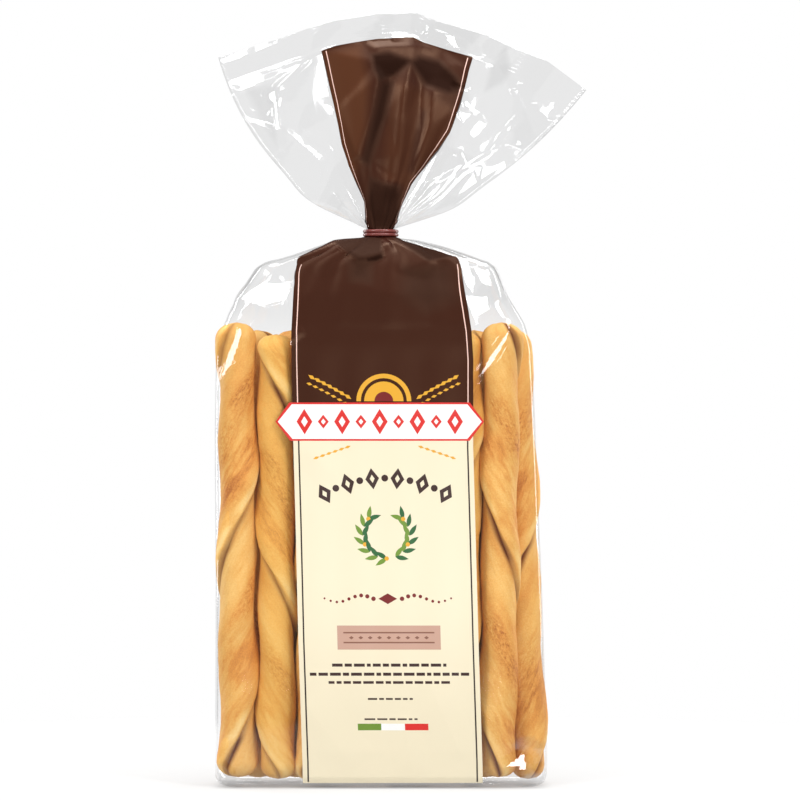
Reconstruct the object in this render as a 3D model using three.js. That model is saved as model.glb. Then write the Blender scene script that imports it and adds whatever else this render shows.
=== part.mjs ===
import * as THREE from "three";

// A clear bag of long rolled breadsticks: a block of upright sticks in taut film, sloping
// shoulders, a gathered neck held by a double-strand tie, and the free end of the film
// spread above it as a fan that ends in a flat heat seal.
// Millimetres, +Z up, the front faces -Y, the origin is on the middle of the flat base.

// Driving sizes of the filled body
const stickPitch = 19.6; // from one upright stick to the next, and from row to row
const firstStickX = -69.5; // crest of the leftmost stick
const stickRelief = 1.2; // how far the film dips between two sticks
const reliefFoot = 2; // the dips start this far above the base
const stickTop = 222; // the rounded tops of the sticks
const endRound = 14; // the dips fade out over this length under the tops
const edgeRound = 7; // no dip lies this close to the upright edges

// Driving sizes of the neck and its tie
const neckRadius = 6.5;
const neckFoot = 268.4;
const neckTop = 272.2;
const neckPleats = 22; // all round the neck
const neckPleatShare = 0.04; // pleat height as a share of the neck's radius
const tieClearance = 0.3;
const strandRadius = 0.87;
const strandGap = 0.94; // half the distance between strand centres, in strand radii
const tieMiddle = 270.2;

// Driving sizes of the fan above the tie
const fanLength = 108;
const sealHeight = 12.4;
const sealHalfThickness = 0.45;
const fanPuff = 22; // makes the air space between the fan's two layers
const fanLensPower = 0.8; // below 1 fills the fan's section out towards its sides
const fanFoldShare = 0.3; // how deep the folds are where the fan leaves the neck
const edgeBowPower = 2.5; // keeps the bow of the side edges out of the fan's middle
const rimSway = 7; // how far the free edge waves to the front and back
const rimSwayTurns = 0.7; // waves across the fan
const rimSwayLead = 0.5; // radians

// Two waves make the uneven folds that run up the gathered film. Turns are counted over
// half the film's width, lead is in radians, and sideLead shifts the back from the front.
const foldWaves = [
  { height: 0.6, turns: 4.15, lead: 0.7, sideLead: 1 },
  { height: 0.4, turns: 6.85, lead: 2.1, sideLead: -2 },
];

// How finely the film and the tie are faceted
const frontSteps = 56; // facets across the front, and as many across the back
const fanSteps = 15;
const fanStepPower = 1.15; // above 1 brings the rows closer together near the neck
const strandSteps = 10;
const tieSteps = 44;

// Level sections of the bag from its base to just under the tie. Left and right are where
// the outline of the film stands, halfDepth is its reach to the front and back, corner is
// the radius of the upright edges, and pleat is the share by which folds move the film.
const sections = [
  { z: 0, left: -75.5, right: 76, halfDepth: 16.5, corner: 9, pleat: 0 },
  { z: 1.4, left: -79, right: 79.6, halfDepth: 19.6, corner: 11, pleat: 0 },
  { z: 5, left: -80.8, right: 81.2, halfDepth: 21.3, corner: 13, pleat: 0 },
  { z: 18, left: -80.7, right: 81.5, halfDepth: 21.8, corner: 13, pleat: 0 },
  { z: 97, left: -80.5, right: 78.8, halfDepth: 21.8, corner: 13, pleat: 0 },
  { z: 175, left: -81, right: 75.7, halfDepth: 21.6, corner: 13, pleat: 0 },
  { z: 215, left: -80.3, right: 73.7, halfDepth: 21.3, corner: 13, pleat: 0 },
  { z: 226, left: -76, right: 70.4, halfDepth: 20.8, corner: 12, pleat: 0.01 },
  { z: 240, left: -68.8, right: 61.5, halfDepth: 18.8, corner: 9, pleat: 0.03 },
  { z: 254.5, left: -59, right: 54.8, halfDepth: 15.2, corner: 7, pleat: 0.06 },
  { z: 259.6, left: -40, right: 41, halfDepth: 12.8, corner: 8, pleat: 0.1 },
  { z: 263.5, left: -29.5, right: 30, halfDepth: 10.8, corner: 8, pleat: 0.12 },
  { z: 266.3, left: -20, right: 18, halfDepth: 9, corner: 7.5, pleat: 0.1 },
  { z: 267.6, left: -9.5, right: 9.5, halfDepth: 7.6, corner: 7, pleat: 0.04 },
];

// The fan's free edge. Across is -1 at its left corner and 1 at its right one, and the
// small step right of the middle is a fold in the film.
const rim = [
  { across: -1, x: -79.9, z: 356.8 },
  { across: -0.68, x: -49.8, z: 365.3 },
  { across: -0.39, x: -23.7, z: 373.8 },
  { across: -0.16, x: -1.5, z: 377.7 },
  { across: 0.05, x: 18.2, z: 379 },
  { across: 0.11, x: 23.2, z: 376.4 },
  { across: 0.42, x: 52, z: 368 },
  { across: 0.6, x: 67.8, z: 360.1 },
  { across: 0.75, x: 80.8, z: 354.8 },
  { across: 1, x: 100.5, z: 339.8 },
];
// The fan's side edges bow outwards and down by this much.
const leftBow = { x: -20, z: -16.5 };
const rightBow = { x: 6.3, z: -17.3 };

const mix = (from, to, share) => from + (to - from) * share;

// 0 at start and 1 at end, which may be the smaller of the two.
const ramp = (value, start, end) =>
  THREE.MathUtils.smoothstep((value - start) / (end - start), 0, 1);

// One ring of the film runs from its left edge across the front to its right edge and back
// behind. Across is -1 at the left and 1 at the right, and side is -1 in front, 1 behind.
function ringPlaces() {
  const places = [];
  for (let i = 0; i < frontSteps; i++) {
    places.push({ across: -1 + (2 * i) / frontSteps, side: -1 });
  }
  for (let i = 0; i < frontSteps; i++) {
    places.push({ across: 1 - (2 * i) / frontSteps, side: 1 });
  }
  return places;
}

// A quarter of a rounded rectangle, walked from the middle of its front to the middle of
// its side: how far out and how far forward the walker is after a share of the way.
function roundedQuarter(share, halfWidth, halfDepth, corner) {
  const flat = halfWidth - corner;
  const arc = (corner * Math.PI) / 2;
  const straight = halfDepth - corner;
  const walked = share * (flat + arc + straight);
  if (walked <= flat) return { out: walked, forward: halfDepth };
  if (walked > flat + arc) return { out: halfWidth, forward: flat + arc + straight - walked };
  const turn = (walked - flat) / corner;
  return {
    out: flat + corner * Math.sin(turn),
    forward: straight + corner * Math.cos(turn),
  };
}

// The height of the folds at a place, between -1 and 1. They die out at the side edges.
function foldWave(across, side) {
  const heights = foldWaves.map(({ height, turns, lead, sideLead }) => {
    return height * Math.sin(2 * Math.PI * turns * across + lead + sideLead * side);
  });
  return (heights[0] + heights[1]) * Math.sqrt(1 - across ** 2);
}

// How far the film dips at this distance from the crest of a stick.
function dipBetweenSticks(fromCrest, z) {
  const low = ramp(z, reliefFoot, 3 * reliefFoot);
  const high = ramp(z, stickTop, stickTop - endRound);
  return stickRelief * low * high * (0.5 - 0.5 * Math.cos((2 * Math.PI * fromCrest) / stickPitch));
}

// The sticks stand in two rows, so the front and back dip between every two sticks, and
// each side dips once, between the rows.
function bodyRing(section) {
  const halfWidth = (section.right - section.left) / 2;
  const middle = (section.right + section.left) / 2;
  return ringPlaces().map(({ across, side }) => {
    const place = roundedQuarter(
      Math.abs(across), halfWidth, section.halfDepth, section.corner,
    );
    const folded = 1 + section.pleat * foldWave(across, side);
    const onSide = place.forward < stickPitch / 2;
    const sideDip = onSide ? dipBetweenSticks(stickPitch / 2 - place.forward, section.z) : 0;
    const x = middle + Math.sign(across) * (place.out - sideDip) * folded;
    const fromEdge = Math.min(x - section.left, section.right - x);
    const inside = ramp(fromEdge, edgeRound, 2 * edgeRound);
    const faceDip = inside * dipBetweenSticks(x - firstStickX, section.z);
    return new THREE.Vector3(x, side * (place.forward - faceDip) * folded, section.z);
  });
}

function neckRing(z) {
  return ringPlaces().map(({ across, side }) => {
    const turn = (across * Math.PI) / 2;
    const radius = neckRadius * (1 + neckPleatShare * Math.cos(neckPleats * turn));
    return new THREE.Vector3(radius * Math.sin(turn), side * radius * Math.cos(turn), z);
  });
}

function rimPoint(across) {
  const next = Math.max(rim.findIndex((point) => point.across >= across), 1);
  const [from, to] = [rim[next - 1], rim[next]];
  const share = (across - from.across) / (to.across - from.across);
  return { x: mix(from.x, to.x, share), z: mix(from.z, to.z, share) };
}

// One row of the fan, at a share of the way from the neck to the free edge. Opened runs
// from 0 at the neck to 1 at the foot of the seal, where the two layers meet.
function fanRing(share) {
  const opened = Math.min(share / (1 - sealHeight / fanLength), 1);
  const neckPart = (neckRadius - sealHalfThickness) * (1 - opened);
  const halfDepth = sealHalfThickness + neckPart + fanPuff * opened * (1 - opened);
  const foot = neckRing(neckTop);
  return ringPlaces().map(({ across, side }, i) => {
    const top = rimPoint(across);
    const bow = across < 0 ? leftBow : rightBow;
    const bowShare = 2 * share * (1 - share) * Math.abs(across) ** edgeBowPower;
    const x = mix(foot[i].x, top.x, share) + bow.x * bowShare;
    const z = mix(foot[i].z, top.z, share) + bow.z * bowShare;
    const folded = 1 + fanFoldShare * foldWave(across, side) * Math.sqrt(1 - opened);
    const bulge = Math.max(Math.cos((across * Math.PI) / 2), 0) ** fanLensPower;
    const lens = opened < 1 ? bulge : Number(Math.abs(across) < 1);
    const sway = rimSway * share * Math.sin(2 * Math.PI * rimSwayTurns * across + rimSwayLead);
    return new THREE.Vector3(x, side * halfDepth * lens * folded + sway, z);
  });
}

// Joins rings of equal length into one closed skin. Each end is shut by facets that run
// from the front half of its ring to the back half.
function closedSkin(rings) {
  const count = rings[0].length;
  const faces = [];
  for (let r = 0; r + 1 < rings.length; r++) {
    for (let i = 0; i < count; i++) {
      const low = [r * count + i, r * count + ((i + 1) % count)];
      const high = [low[0] + count, low[1] + count];
      faces.push(low[0], low[1], high[1], low[0], high[1], high[0]);
    }
  }
  const shutEnd = (start, facesUp) => {
    for (let i = 0; i < count / 2; i++) {
      const front = [start + i, start + i + 1];
      const back = [start + ((count - i) % count), start + count - i - 1];
      const halves = [
        [front[0], front[1], back[1]],
        [front[0], back[1], back[0]],
      ];
      for (const half of halves) {
        if (new Set(half).size < 3) continue;
        faces.push(...(facesUp ? half : half.reverse()));
      }
    }
  };
  shutEnd(0, false);
  shutEnd((rings.length - 1) * count, true);
  const geometry = new THREE.BufferGeometry().setFromPoints(rings.flat());
  geometry.setIndex(faces);
  geometry.computeVertexNormals();
  return geometry;
}

function filmBag() {
  const rings = sections.map(bodyRing);
  rings.push(neckRing(neckFoot), neckRing(neckTop));
  const sealFoot = 1 - sealHeight / fanLength;
  for (let step = 1; step <= fanSteps; step++) {
    rings.push(fanRing(sealFoot * (step / fanSteps) ** fanStepPower));
  }
  rings.push(fanRing(1));
  const film = new THREE.MeshStandardMaterial({ color: 0xe9c88c, roughness: 0.35, metalness: 0 });
  const bag = new THREE.Mesh(closedSkin(rings), film);
  bag.name = "film_bag";
  return bag;
}

// Two strands of coated wire wound side by side round the neck, as one closed band. The
// profile goes round the upper strand and then the lower one, from where they touch.
function neckTie() {
  const inner = neckRadius * (1 + neckPleatShare) + tieClearance;
  const pinch = Math.asin(strandGap);
  const sweep = Math.PI + 2 * pinch;
  const profile = [];
  for (const strand of [1, -1]) {
    const start = strand > 0 ? -pinch : Math.PI - pinch;
    for (let i = 0; i < strandSteps; i++) {
      const turn = start + (sweep * i) / strandSteps;
      const out = inner + strandRadius * (1 + Math.cos(turn));
      const up = strandRadius * (strand * strandGap + Math.sin(turn));
      profile.push(new THREE.Vector2(out, up));
    }
  }
  profile.push(profile[0].clone());
  const coating = new THREE.MeshStandardMaterial({ color: 0x7a2a22, roughness: 0.4, metalness: 0 });
  const tie = new THREE.Mesh(new THREE.LatheGeometry(profile, tieSteps), coating);
  tie.name = "neck_tie";
  tie.rotation.x = Math.PI / 2;
  tie.position.z = tieMiddle;
  return tie;
}

const pack = new THREE.Group();
pack.add(filmBag(), neckTie());

export default pack;
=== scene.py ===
# A tied clear bag of grissini breadsticks: film, printed band, sticks and tie.
import bpy
import math
import numpy as np
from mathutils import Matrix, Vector, geometry


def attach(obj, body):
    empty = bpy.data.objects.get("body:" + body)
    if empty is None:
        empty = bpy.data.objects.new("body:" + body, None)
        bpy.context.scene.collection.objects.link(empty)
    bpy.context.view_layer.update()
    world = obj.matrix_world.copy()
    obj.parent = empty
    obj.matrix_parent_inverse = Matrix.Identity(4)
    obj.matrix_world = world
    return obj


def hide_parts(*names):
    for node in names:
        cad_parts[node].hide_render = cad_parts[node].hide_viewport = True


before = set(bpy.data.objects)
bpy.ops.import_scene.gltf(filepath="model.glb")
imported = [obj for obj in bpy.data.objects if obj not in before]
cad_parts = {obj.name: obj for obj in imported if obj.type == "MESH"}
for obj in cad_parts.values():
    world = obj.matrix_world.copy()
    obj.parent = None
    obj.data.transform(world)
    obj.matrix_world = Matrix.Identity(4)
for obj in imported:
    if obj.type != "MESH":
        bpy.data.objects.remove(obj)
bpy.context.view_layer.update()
mm = 0.001
print("frame loaded:", sorted(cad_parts))


view = dict(lens=180, sensor=36, place=(0.0095, -1.962, 0.1884))

# softboxes: azimuth round from the front to the right, elevation, distance, width, height, power
softboxes = dict(
    keyRight=(44, 32, 2.0, 0.5, 0.9, 15), keyLeft=(-46, 30, 2.0, 0.5, 1.0, 15),
    top=(10, 84, 1.5, 1.0, 0.8, 22), rimRight=(128, 14, 1.8, 0.35, 1.3, 12),
    rimLeft=(-132, 14, 1.8, 0.35, 1.3, 12), low=(12, -14, 2.1, 0.7, 0.3, 8),
)
lightTarget = Vector((0, 0, 0.2))


def awayFrom(azimuth, elevation):
    turn, lift = math.radians(azimuth), math.radians(elevation)
    return Vector((math.sin(turn) * math.cos(lift), -math.cos(turn) * math.cos(lift),
                   math.sin(lift)))


# Small helpers

def paint(red, green, blue):
    # a screen colour, 0 to 255, as the linear colour that shaders take
    def linear(value):
        value /= 255
        return value / 12.92 if value <= 0.04045 else ((value + 0.055) / 1.055) ** 2.4
    return (linear(red), linear(green), linear(blue), 1)


def ramp(value, start, end):
    # 0 at start and 1 at end, smooth between, whichever is larger
    share = np.clip((value - start) / (end - start), 0, 1)
    return share * share * (3 - 2 * share)


noiseTables = {}


def noiseCell(x, y, seed):
    # random heights from -1 to 1 at the corners of each place's cell, and its shares along it
    if seed not in noiseTables:
        noiseTables[seed] = np.random.default_rng(seed).uniform(-1, 1, (128, 128))
    table = noiseTables[seed]
    left, low = np.floor(x).astype(int), np.floor(y).astype(int)
    def at(i, j):
        return table[(left + i) % 128, (low + j) % 128]
    return at, x - left, y - low


def waveNoise(x, y, seed):
    # smooth noise from -1 to 1; whole numbers added to x or y only choose another part of it
    at, tx, ty = noiseCell(x, y, seed)
    tx, ty = tx * tx * (3 - 2 * tx), ty * ty * (3 - 2 * ty)
    lower = at(0, 0) * (1 - tx) + at(1, 0) * tx
    upper = at(0, 1) * (1 - tx) + at(1, 1) * tx
    return lower * (1 - ty) + upper * ty


def facetNoise(x, y, seed):
    # flat triangles between random heights, on a lattice bent out of true
    bentX = x + 0.5 * waveNoise(x * 0.5 + 7, y * 0.5 + 31, seed + 100)
    bentY = y + 0.5 * waveNoise(x * 0.5 + 71, y * 0.5 + 13, seed + 200)
    at, tx, ty = noiseCell(bentX, bentY, seed)
    under = at(0, 0) + tx * (at(1, 0) - at(0, 0)) + ty * (at(1, 1) - at(1, 0))
    over = at(0, 0) + ty * (at(0, 1) - at(0, 0)) + tx * (at(1, 1) - at(0, 1))
    return np.where(tx > ty, under, over)


def pieceFrom(name, corners, faces, materials, faceMaterials=None, normals=None):
    # corners in millimetres become one smooth mesh piece in metres
    mesh = bpy.data.meshes.new(name)
    mesh.from_pydata((np.asarray(corners) * mm).tolist(), [], [list(f) for f in faces])
    for material in materials:
        mesh.materials.append(material)
    if faceMaterials is not None:
        mesh.polygons.foreach_set("material_index", faceMaterials)
    mesh.polygons.foreach_set("use_smooth", [True] * len(mesh.polygons))
    if normals is not None:
        mesh.normals_split_custom_set_from_vertices(normals.tolist())
    mesh.update()
    piece = bpy.data.objects.new(name, mesh)
    bpy.context.scene.collection.objects.link(piece)
    return piece


def settle(piece, node=None):
    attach(piece, "root")
    if node:
        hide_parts(node)
    return piece


class NodeWriter:
    # adds nodes to a tree and links or sets their inputs
    def __init__(self, tree):
        self.tree = tree

    def add(self, kind, inputs=None, **settings):
        node = self.tree.nodes.new(kind)
        for key, value in settings.items():
            setattr(node, key, value)
        for key, value in (inputs or {}).items():
            self.put(node.inputs[key], value)
        return node

    def put(self, socket, value):
        if isinstance(value, bpy.types.NodeSocket):
            self.tree.links.new(value, socket)
        else:
            socket.default_value = value

    def calc(self, operation, *values, clamp=False):
        return self.add("ShaderNodeMath", dict(enumerate(values)), operation=operation,
                        use_clamp=clamp).outputs[0]

    def vector(self, operation, *values, output="Vector"):
        return self.add("ShaderNodeVectorMath", dict(enumerate(values)),
                        operation=operation).outputs[output]

    def join(self, x, y, z):
        return self.add("ShaderNodeCombineXYZ", {"X": x, "Y": y, "Z": z}).outputs[0]

    def remap(self, value, fromLow, fromHigh, toLow=0.0, toHigh=1.0):
        node = self.add("ShaderNodeMapRange", {
            "Value": value, "From Min": fromLow, "From Max": fromHigh,
            "To Min": toLow, "To Max": toHigh}, interpolation_type="SMOOTHSTEP")
        return node.outputs[0]

    def attribute(self, name, output="Fac"):
        return self.add("ShaderNodeAttribute", attribute_name=name).outputs[output]

    def blend(self, first, second, share):
        node = self.add("ShaderNodeMix", data_type="RGBA")
        for socket, value in zip((node.inputs[6], node.inputs[7], node.inputs[0]),
                                 (first, second, share)):
            self.put(socket, value)
        return node.outputs[2]

    def noise(self, place, scale, detail=2.0, roughness=0.5):
        # centred on 0: about -0.5 to 0.5
        node = self.add("ShaderNodeTexNoise", {
            "Vector": place, "Scale": scale, "Detail": detail, "Roughness": roughness})
        return self.calc("SUBTRACT", node.outputs[0], 0.5)


def newMaterial(name, look):
    # a material whose shader starts from the values of look, and a writer for its nodes
    material = bpy.data.materials.new(name)
    material.use_nodes = True
    shader = material.node_tree.nodes["Principled BSDF"]
    for socket, value in look.items():
        shader.inputs[socket].default_value = value
    return material, NodeWriter(material.node_tree), shader


# The film's form, in millimetres: the solid's, but flatter in the fan and wider above the tie

bagForm = dict(
    neckRadius=6.5, neckFoot=268.4, neckTop=272.2, neckPleats=22, neckPleatShare=0.04,
    stickPitch=19.6, firstStickX=-69.5, stickRelief=0.95, reliefFoot=2, stickTop=218,
    endRound=14, edgeRound=7,
    fanLength=108, sealHeight=12.4, sealHalfThickness=0.25, fanPuff=15, fanLensPower=0.8,
    sealStart=0.93, sealEdge=40,  # from where the fan closes to the seal, and its edge's slope
    fanFoldShare=0.3, edgeBowPower=2.5, rimSway=7, rimSwayTurns=0.7, rimSwayLead=0.5,
    lowBow=4.2, lowBowShare=0.24, lowBowReach=0.13,  # the fan spreads quickly above the tie
    # folds: how strong, how many across, and how far they start along, with and by the side
    foldWaves=((0.6, 4.15, 0.7, 1), (0.4, 6.85, 2.1, -2)),
    # where print stiffens the film: by how much, how far across, and how sharply
    stiffFolds=(0.65, 0.7, 4), stiffDips=(0.75, 0.62, 6), stiffFan=(0.9, 0.56, 4),
    sheetHalf=97.3,  # half the width of the film tube pressed flat
    softenFrom=60, soften=1.3,  # creases between the level sections are eased above here
)

# height, left, right, half depth, corner radius, fold share
sections = np.array([
    (0, -75.5, 76, 16.5, 9, 0),
    (1.4, -79, 79.6, 19.6, 11, 0),
    (5, -80.8, 81.2, 21.3, 13, 0),
    (18, -80.7, 81.5, 21.8, 13, 0),
    (97, -80.5, 78.8, 21.8, 13, 0),
    (175, -81, 75.7, 21.6, 13, 0),
    (215, -80.3, 73.7, 21.3, 13, 0),
    (226, -76, 70.4, 20.8, 12, 0.01),
    (240, -68.8, 61.5, 18.8, 9, 0.03),
    (254.5, -59, 54.8, 15.2, 7, 0.06),
    (259.6, -40, 41, 12.8, 8, 0.1),
    (263.5, -29.5, 30, 10.8, 8, 0.12),
    (266.3, -20, 18, 9, 7.5, 0.1),
    (267.6, -9.5, 9.5, 7.6, 7, 0.04),
])

# place across the pressed film, x, z
rim = np.array([
    (-1, -79.9, 356.8), (-0.68, -49.8, 365.3), (-0.39, -23.7, 373.8), (-0.16, -1.5, 377.7),
    (0.05, 18.2, 379), (0.11, 23.2, 376.4), (0.42, 52, 368), (0.6, 67.8, 360.1),
    (0.75, 80.8, 354.8), (1, 100.5, 339.8),
])
sideBow = dict(left=(-20, -16.5), right=(6.3, -17.3))


def easedSections(steps=1400, reach=30):
    # the sections on a fine ladder of heights, with the creases between them eased
    form = bagForm
    top = sections[-1, 0]
    heights = np.linspace(0, top, steps)
    near = np.arange(-reach, reach + 1) * (heights[1] - heights[0])
    kernel = np.exp(-0.5 * (near / form["soften"]) ** 2)
    kernel /= kernel.sum()
    keep = ramp(heights, form["softenFrom"], form["softenFrom"] + 20)
    keep = keep * ramp(heights, top - 0.5, top - 3)
    columns = []
    for column in range(1, 6):
        sharp = np.interp(heights, sections[:, 0], sections[:, column])
        soft = np.convolve(np.pad(sharp, reach, mode="edge"), kernel, mode="valid")
        columns.append(sharp + (soft - sharp) * keep)
    return heights, columns


ladder, ladderColumns = easedSections()


def foldWave(across, side):
    total = 0
    for height, turns, lead, bySide in bagForm["foldWaves"]:
        total = total + height * np.sin(2 * math.pi * turns * across + lead + bySide * side)
    return total * np.sqrt(np.maximum(1 - across ** 2, 0))


def softened(across, stiffness, here=True):
    # 1 where the film moves freely, and less over its printed middle
    share, reach, power = stiffness
    return 1 - share * np.exp(-(across / reach) ** power) * here


def dipBetweenSticks(fromCrest, z):
    form = bagForm
    low = ramp(z, form["reliefFoot"], 3 * form["reliefFoot"])
    high = ramp(z, form["stickTop"], form["stickTop"] - form["endRound"])
    wave = 0.5 - 0.5 * np.cos(2 * math.pi * fromCrest / form["stickPitch"])
    return form["stickRelief"] * low * high * wave


def sectionAt(z):
    # left, right, corner radius, fold share, and the flat, curved and side stretch of a quarter
    left, right, halfDepth, corner, pleat = [np.interp(z, ladder, c) for c in ladderColumns]
    flat, straight = (right - left) / 2 - corner, halfDepth - corner
    return left, right, corner, pleat, flat, corner * math.pi / 2, straight


def bodyPlace(across, side, z):
    form = bagForm
    left, right, corner, pleat, flat, arc, straight = sectionAt(z)
    middle = (right + left) / 2
    walked = np.abs(across) * (flat + arc + straight)
    turn = np.clip((walked - flat) / corner, 0, math.pi / 2)
    out = np.minimum(walked, flat) + corner * np.sin(turn)
    forward = straight + corner * np.cos(turn) - np.maximum(walked - flat - arc, 0)
    folded = 1 + pleat * foldWave(across, side) * softened(across, form["stiffFolds"], side < 0)
    halfPitch = form["stickPitch"] / 2
    sideDip = np.where(forward < halfPitch, dipBetweenSticks(halfPitch - forward, z), 0)
    x = middle + np.sign(across) * (out - sideDip) * folded
    inside = ramp(np.minimum(x - left, right - x), form["edgeRound"], 2 * form["edgeRound"])
    faceDip = inside * dipBetweenSticks(x - form["firstStickX"], z)
    faceDip = faceDip * softened(across, form["stiffDips"], side < 0)
    return x, side * (forward - faceDip) * folded, z + 0 * x


def neckPlace(across, side, z):
    form = bagForm
    turn = across * math.pi / 2
    radius = form["neckRadius"] * (1 + form["neckPleatShare"] * np.cos(form["neckPleats"] * turn))
    return radius * np.sin(turn), side * radius * np.cos(turn), z + 0 * turn


def fanPlace(across, side, share):
    form = bagForm
    opened = np.minimum(share / (1 - form["sealHeight"] / form["fanLength"]), 1)
    thin = form["sealHalfThickness"]
    depth = thin + (form["neckRadius"] - thin) * (1 - opened)
    depth = depth + form["fanPuff"] * opened * (1 - opened)
    footX, _, footZ = neckPlace(across, side, form["neckTop"])
    topX = np.interp(across, rim[:, 0], rim[:, 1])
    topZ = np.interp(across, rim[:, 0], rim[:, 2])
    bow = 2 * share * (1 - share) * np.abs(across) ** form["edgeBowPower"]
    bowX = np.where(across < 0, sideBow["left"][0], sideBow["right"][0]) * bow
    bowZ = np.where(across < 0, sideBow["left"][1], sideBow["right"][1]) * bow
    lowBow = form["lowBow"] * np.sign(across) * np.abs(across) ** form["edgeBowPower"]
    lowBow = lowBow * np.exp(-((share - form["lowBowShare"]) / form["lowBowReach"]) ** 2)
    x = footX + (topX - footX) * share + bowX + lowBow
    z = footZ + (topZ - footZ) * share + bowZ
    folded = form["fanFoldShare"] * foldWave(across, side) * np.sqrt(1 - opened)
    folded = 1 + folded * softened(across, form["stiffFan"])
    bulge = np.maximum(np.cos(across * math.pi / 2), 0) ** form["fanLensPower"]
    edge = np.minimum((1 - np.abs(across)) * form["sealEdge"], 1)
    lens = bulge + (edge - bulge) * ramp(opened, form["sealStart"], 1)
    sway = form["rimSway"] * share
    sway = sway * np.sin(2 * math.pi * form["rimSwayTurns"] * across + form["rimSwayLead"])
    return x, side * depth * lens * folded + sway, z


def fanShare(level):
    return np.clip((level - bagForm["neckTop"]) / bagForm["fanLength"], 0, 1)


def basePlace(across, side, level):
    # level is the height up the middle of the film, and counts along it in the fan
    form = bagForm
    roof = sections[-1, 0]
    body = np.array(bodyPlace(across, side, np.minimum(level, roof)))
    neck = np.array(neckPlace(across, side, np.clip(level, form["neckFoot"], form["neckTop"])))
    fan = np.array(fanPlace(across, side, fanShare(level)))
    toNeck = np.clip((level - roof) / (form["neckFoot"] - roof), 0, 1)
    low = body + (neck - body) * toNeck
    return np.where(level > form["neckTop"], fan, low)


def sheetNormal(place, across, side, level, reach=0.35):
    # outward normal of the front (side -1) or back (side 1), from neighbouring places
    step = reach / bagForm["sheetHalf"]
    along = place(across + step, side, level) - place(across - step, side, level)
    up = place(across, side, level + reach) - place(across, side, level - reach)
    normal = np.cross(along, up, axis=0) * -side
    return normal / np.maximum(np.linalg.norm(normal, axis=0), 1e-9)


def reflected(place):
    # lets a place just past a side edge fall on the other sheet, so the edge is smooth
    def wrapped(across, side, level):
        beyond = np.abs(across) > 1
        inner = np.where(beyond, np.sign(across) * (2 - np.abs(across)), across)
        here = place(inner, side, level)
        if not np.any(beyond):
            return here
        return np.where(beyond, place(inner, -side, level), here)
    return wrapped


# Creases and wrinkles of the film, as heights above its plain form.
# Each crease is a straight ridge or valley drawn on the front view, in millimetres:
# x, z of both ends, height, and how wide its slope is on the left or lower and on the other side.
frontCreases = [
    # left clear shoulder and right clear shoulder
    (-59, 253.5, -44, 243, 1.2, 5, 8), (-72, 236, -47, 246, 1.3, 7, 6),
    (-74, 226, -52, 243, 1.0, 6, 7), (54, 254, 46, 249.5, 1.1, 4, 5),
    (54, 254, 59, 236, 1.1, 5, 4), (45, 244, 60, 226, 1.0, 6, 5), (45, 243, 57, 238, -0.9, 4, 6),
    # slivers of light over the tops of the outer sticks
    (-77.5, 198, -68, 223, 1.35, 2.2, 2.9), (45.5, 197, 64, 224.5, 1.9, 2.4, 4.1),
    (-46, 216, -37, 223, 0.7, 3, 4),
    # crumpled clear foot on the right
    (58, 10, 71, 15, 0.9, 3, 4), (71, 15, 74, 5, 0.9, 3, 3), (74, 5, 80, 11, 0.7, 2, 3),
    (60, 6, 73, 3.5, 0.6, 2, 2), (-78, 12, -70, 4, 0.5, 3, 3),
    # faint folds of the cream print
    (-37, 42, -13, 9, 0.5, 11, 14), (19, 60, 40, 14, 0.45, 13, 10), (-39, 167, -18, 148, 0.4, 9, 11),
    (10, 36, 16, 6, 0.35, 9, 9),
    # left of the fan
    (-76, 343, -33, 357, 0.9, 2.5, 5), (-33, 357, -54, 338, 1.2, 3, 2.2),
    (-55, 318, -48, 343, 1.1, 2, 2.6), (-58, 330, -55, 352, 0.5, 3, 3),
    (-66, 331, -40, 323.5, 0.8, 2, 2), (-40, 323.5, -12, 300, 0.9, 2.5, 2.1),
    (-52, 317, -27, 288, 1.0, 3, 2.2), (-46, 318, -22, 293, -0.4, 2, 3),
    (-30, 296, -22, 290, 0.6, 2, 2), (-62, 345, -54, 335, -0.6, 2, 3),
    # notch in the panel's edge
    (34, 343, 44, 341, -1.2, 1.6, 1.6),
    # right of the fan
    (41, 333, 47.5, 328.5, 0.6, 1.3, 1.3), (64.5, 341, 70, 332.5, 0.7, 1.5, 1.4),
    (71.5, 336, 69.5, 328.5, 0.6, 1.4, 1.4), (80, 326.5, 92, 328.5, 0.6, 1.6, 1.6),
    (69.5, 330, 60, 320, 0.8, 2, 2.5), (60.5, 321, 54, 311, 0.8, 1.9, 2.5),
    (55, 312, 21, 294.5, 0.8, 2, 3), (48.2, 301.5, 47.6, 297, 0.5, 1.2, 1.2),
    (65, 317.5, 68, 314, 0.5, 1.2, 1.2), (56, 358, 51, 338, 0.5, 4, 7),
    (88, 336, 60, 352, 0.6, 3, 6),
]

# slivers of film that gleam over the outer sticks and at the foot: corners (x, z), millimetres
leftSliver = [(-68.4, 223.5), (-67, 220.5), (-72, 205.5), (-78.2, 197.2), (-74.2, 210.5)]
rightSliver = [(62.7, 223.5), (62, 218.8), (55.4, 207.2), (46, 197), (53.3, 210)]
footSliver = [(60.5, 10.8), (70.8, 8.6), (70.4, 17.8)]

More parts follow.
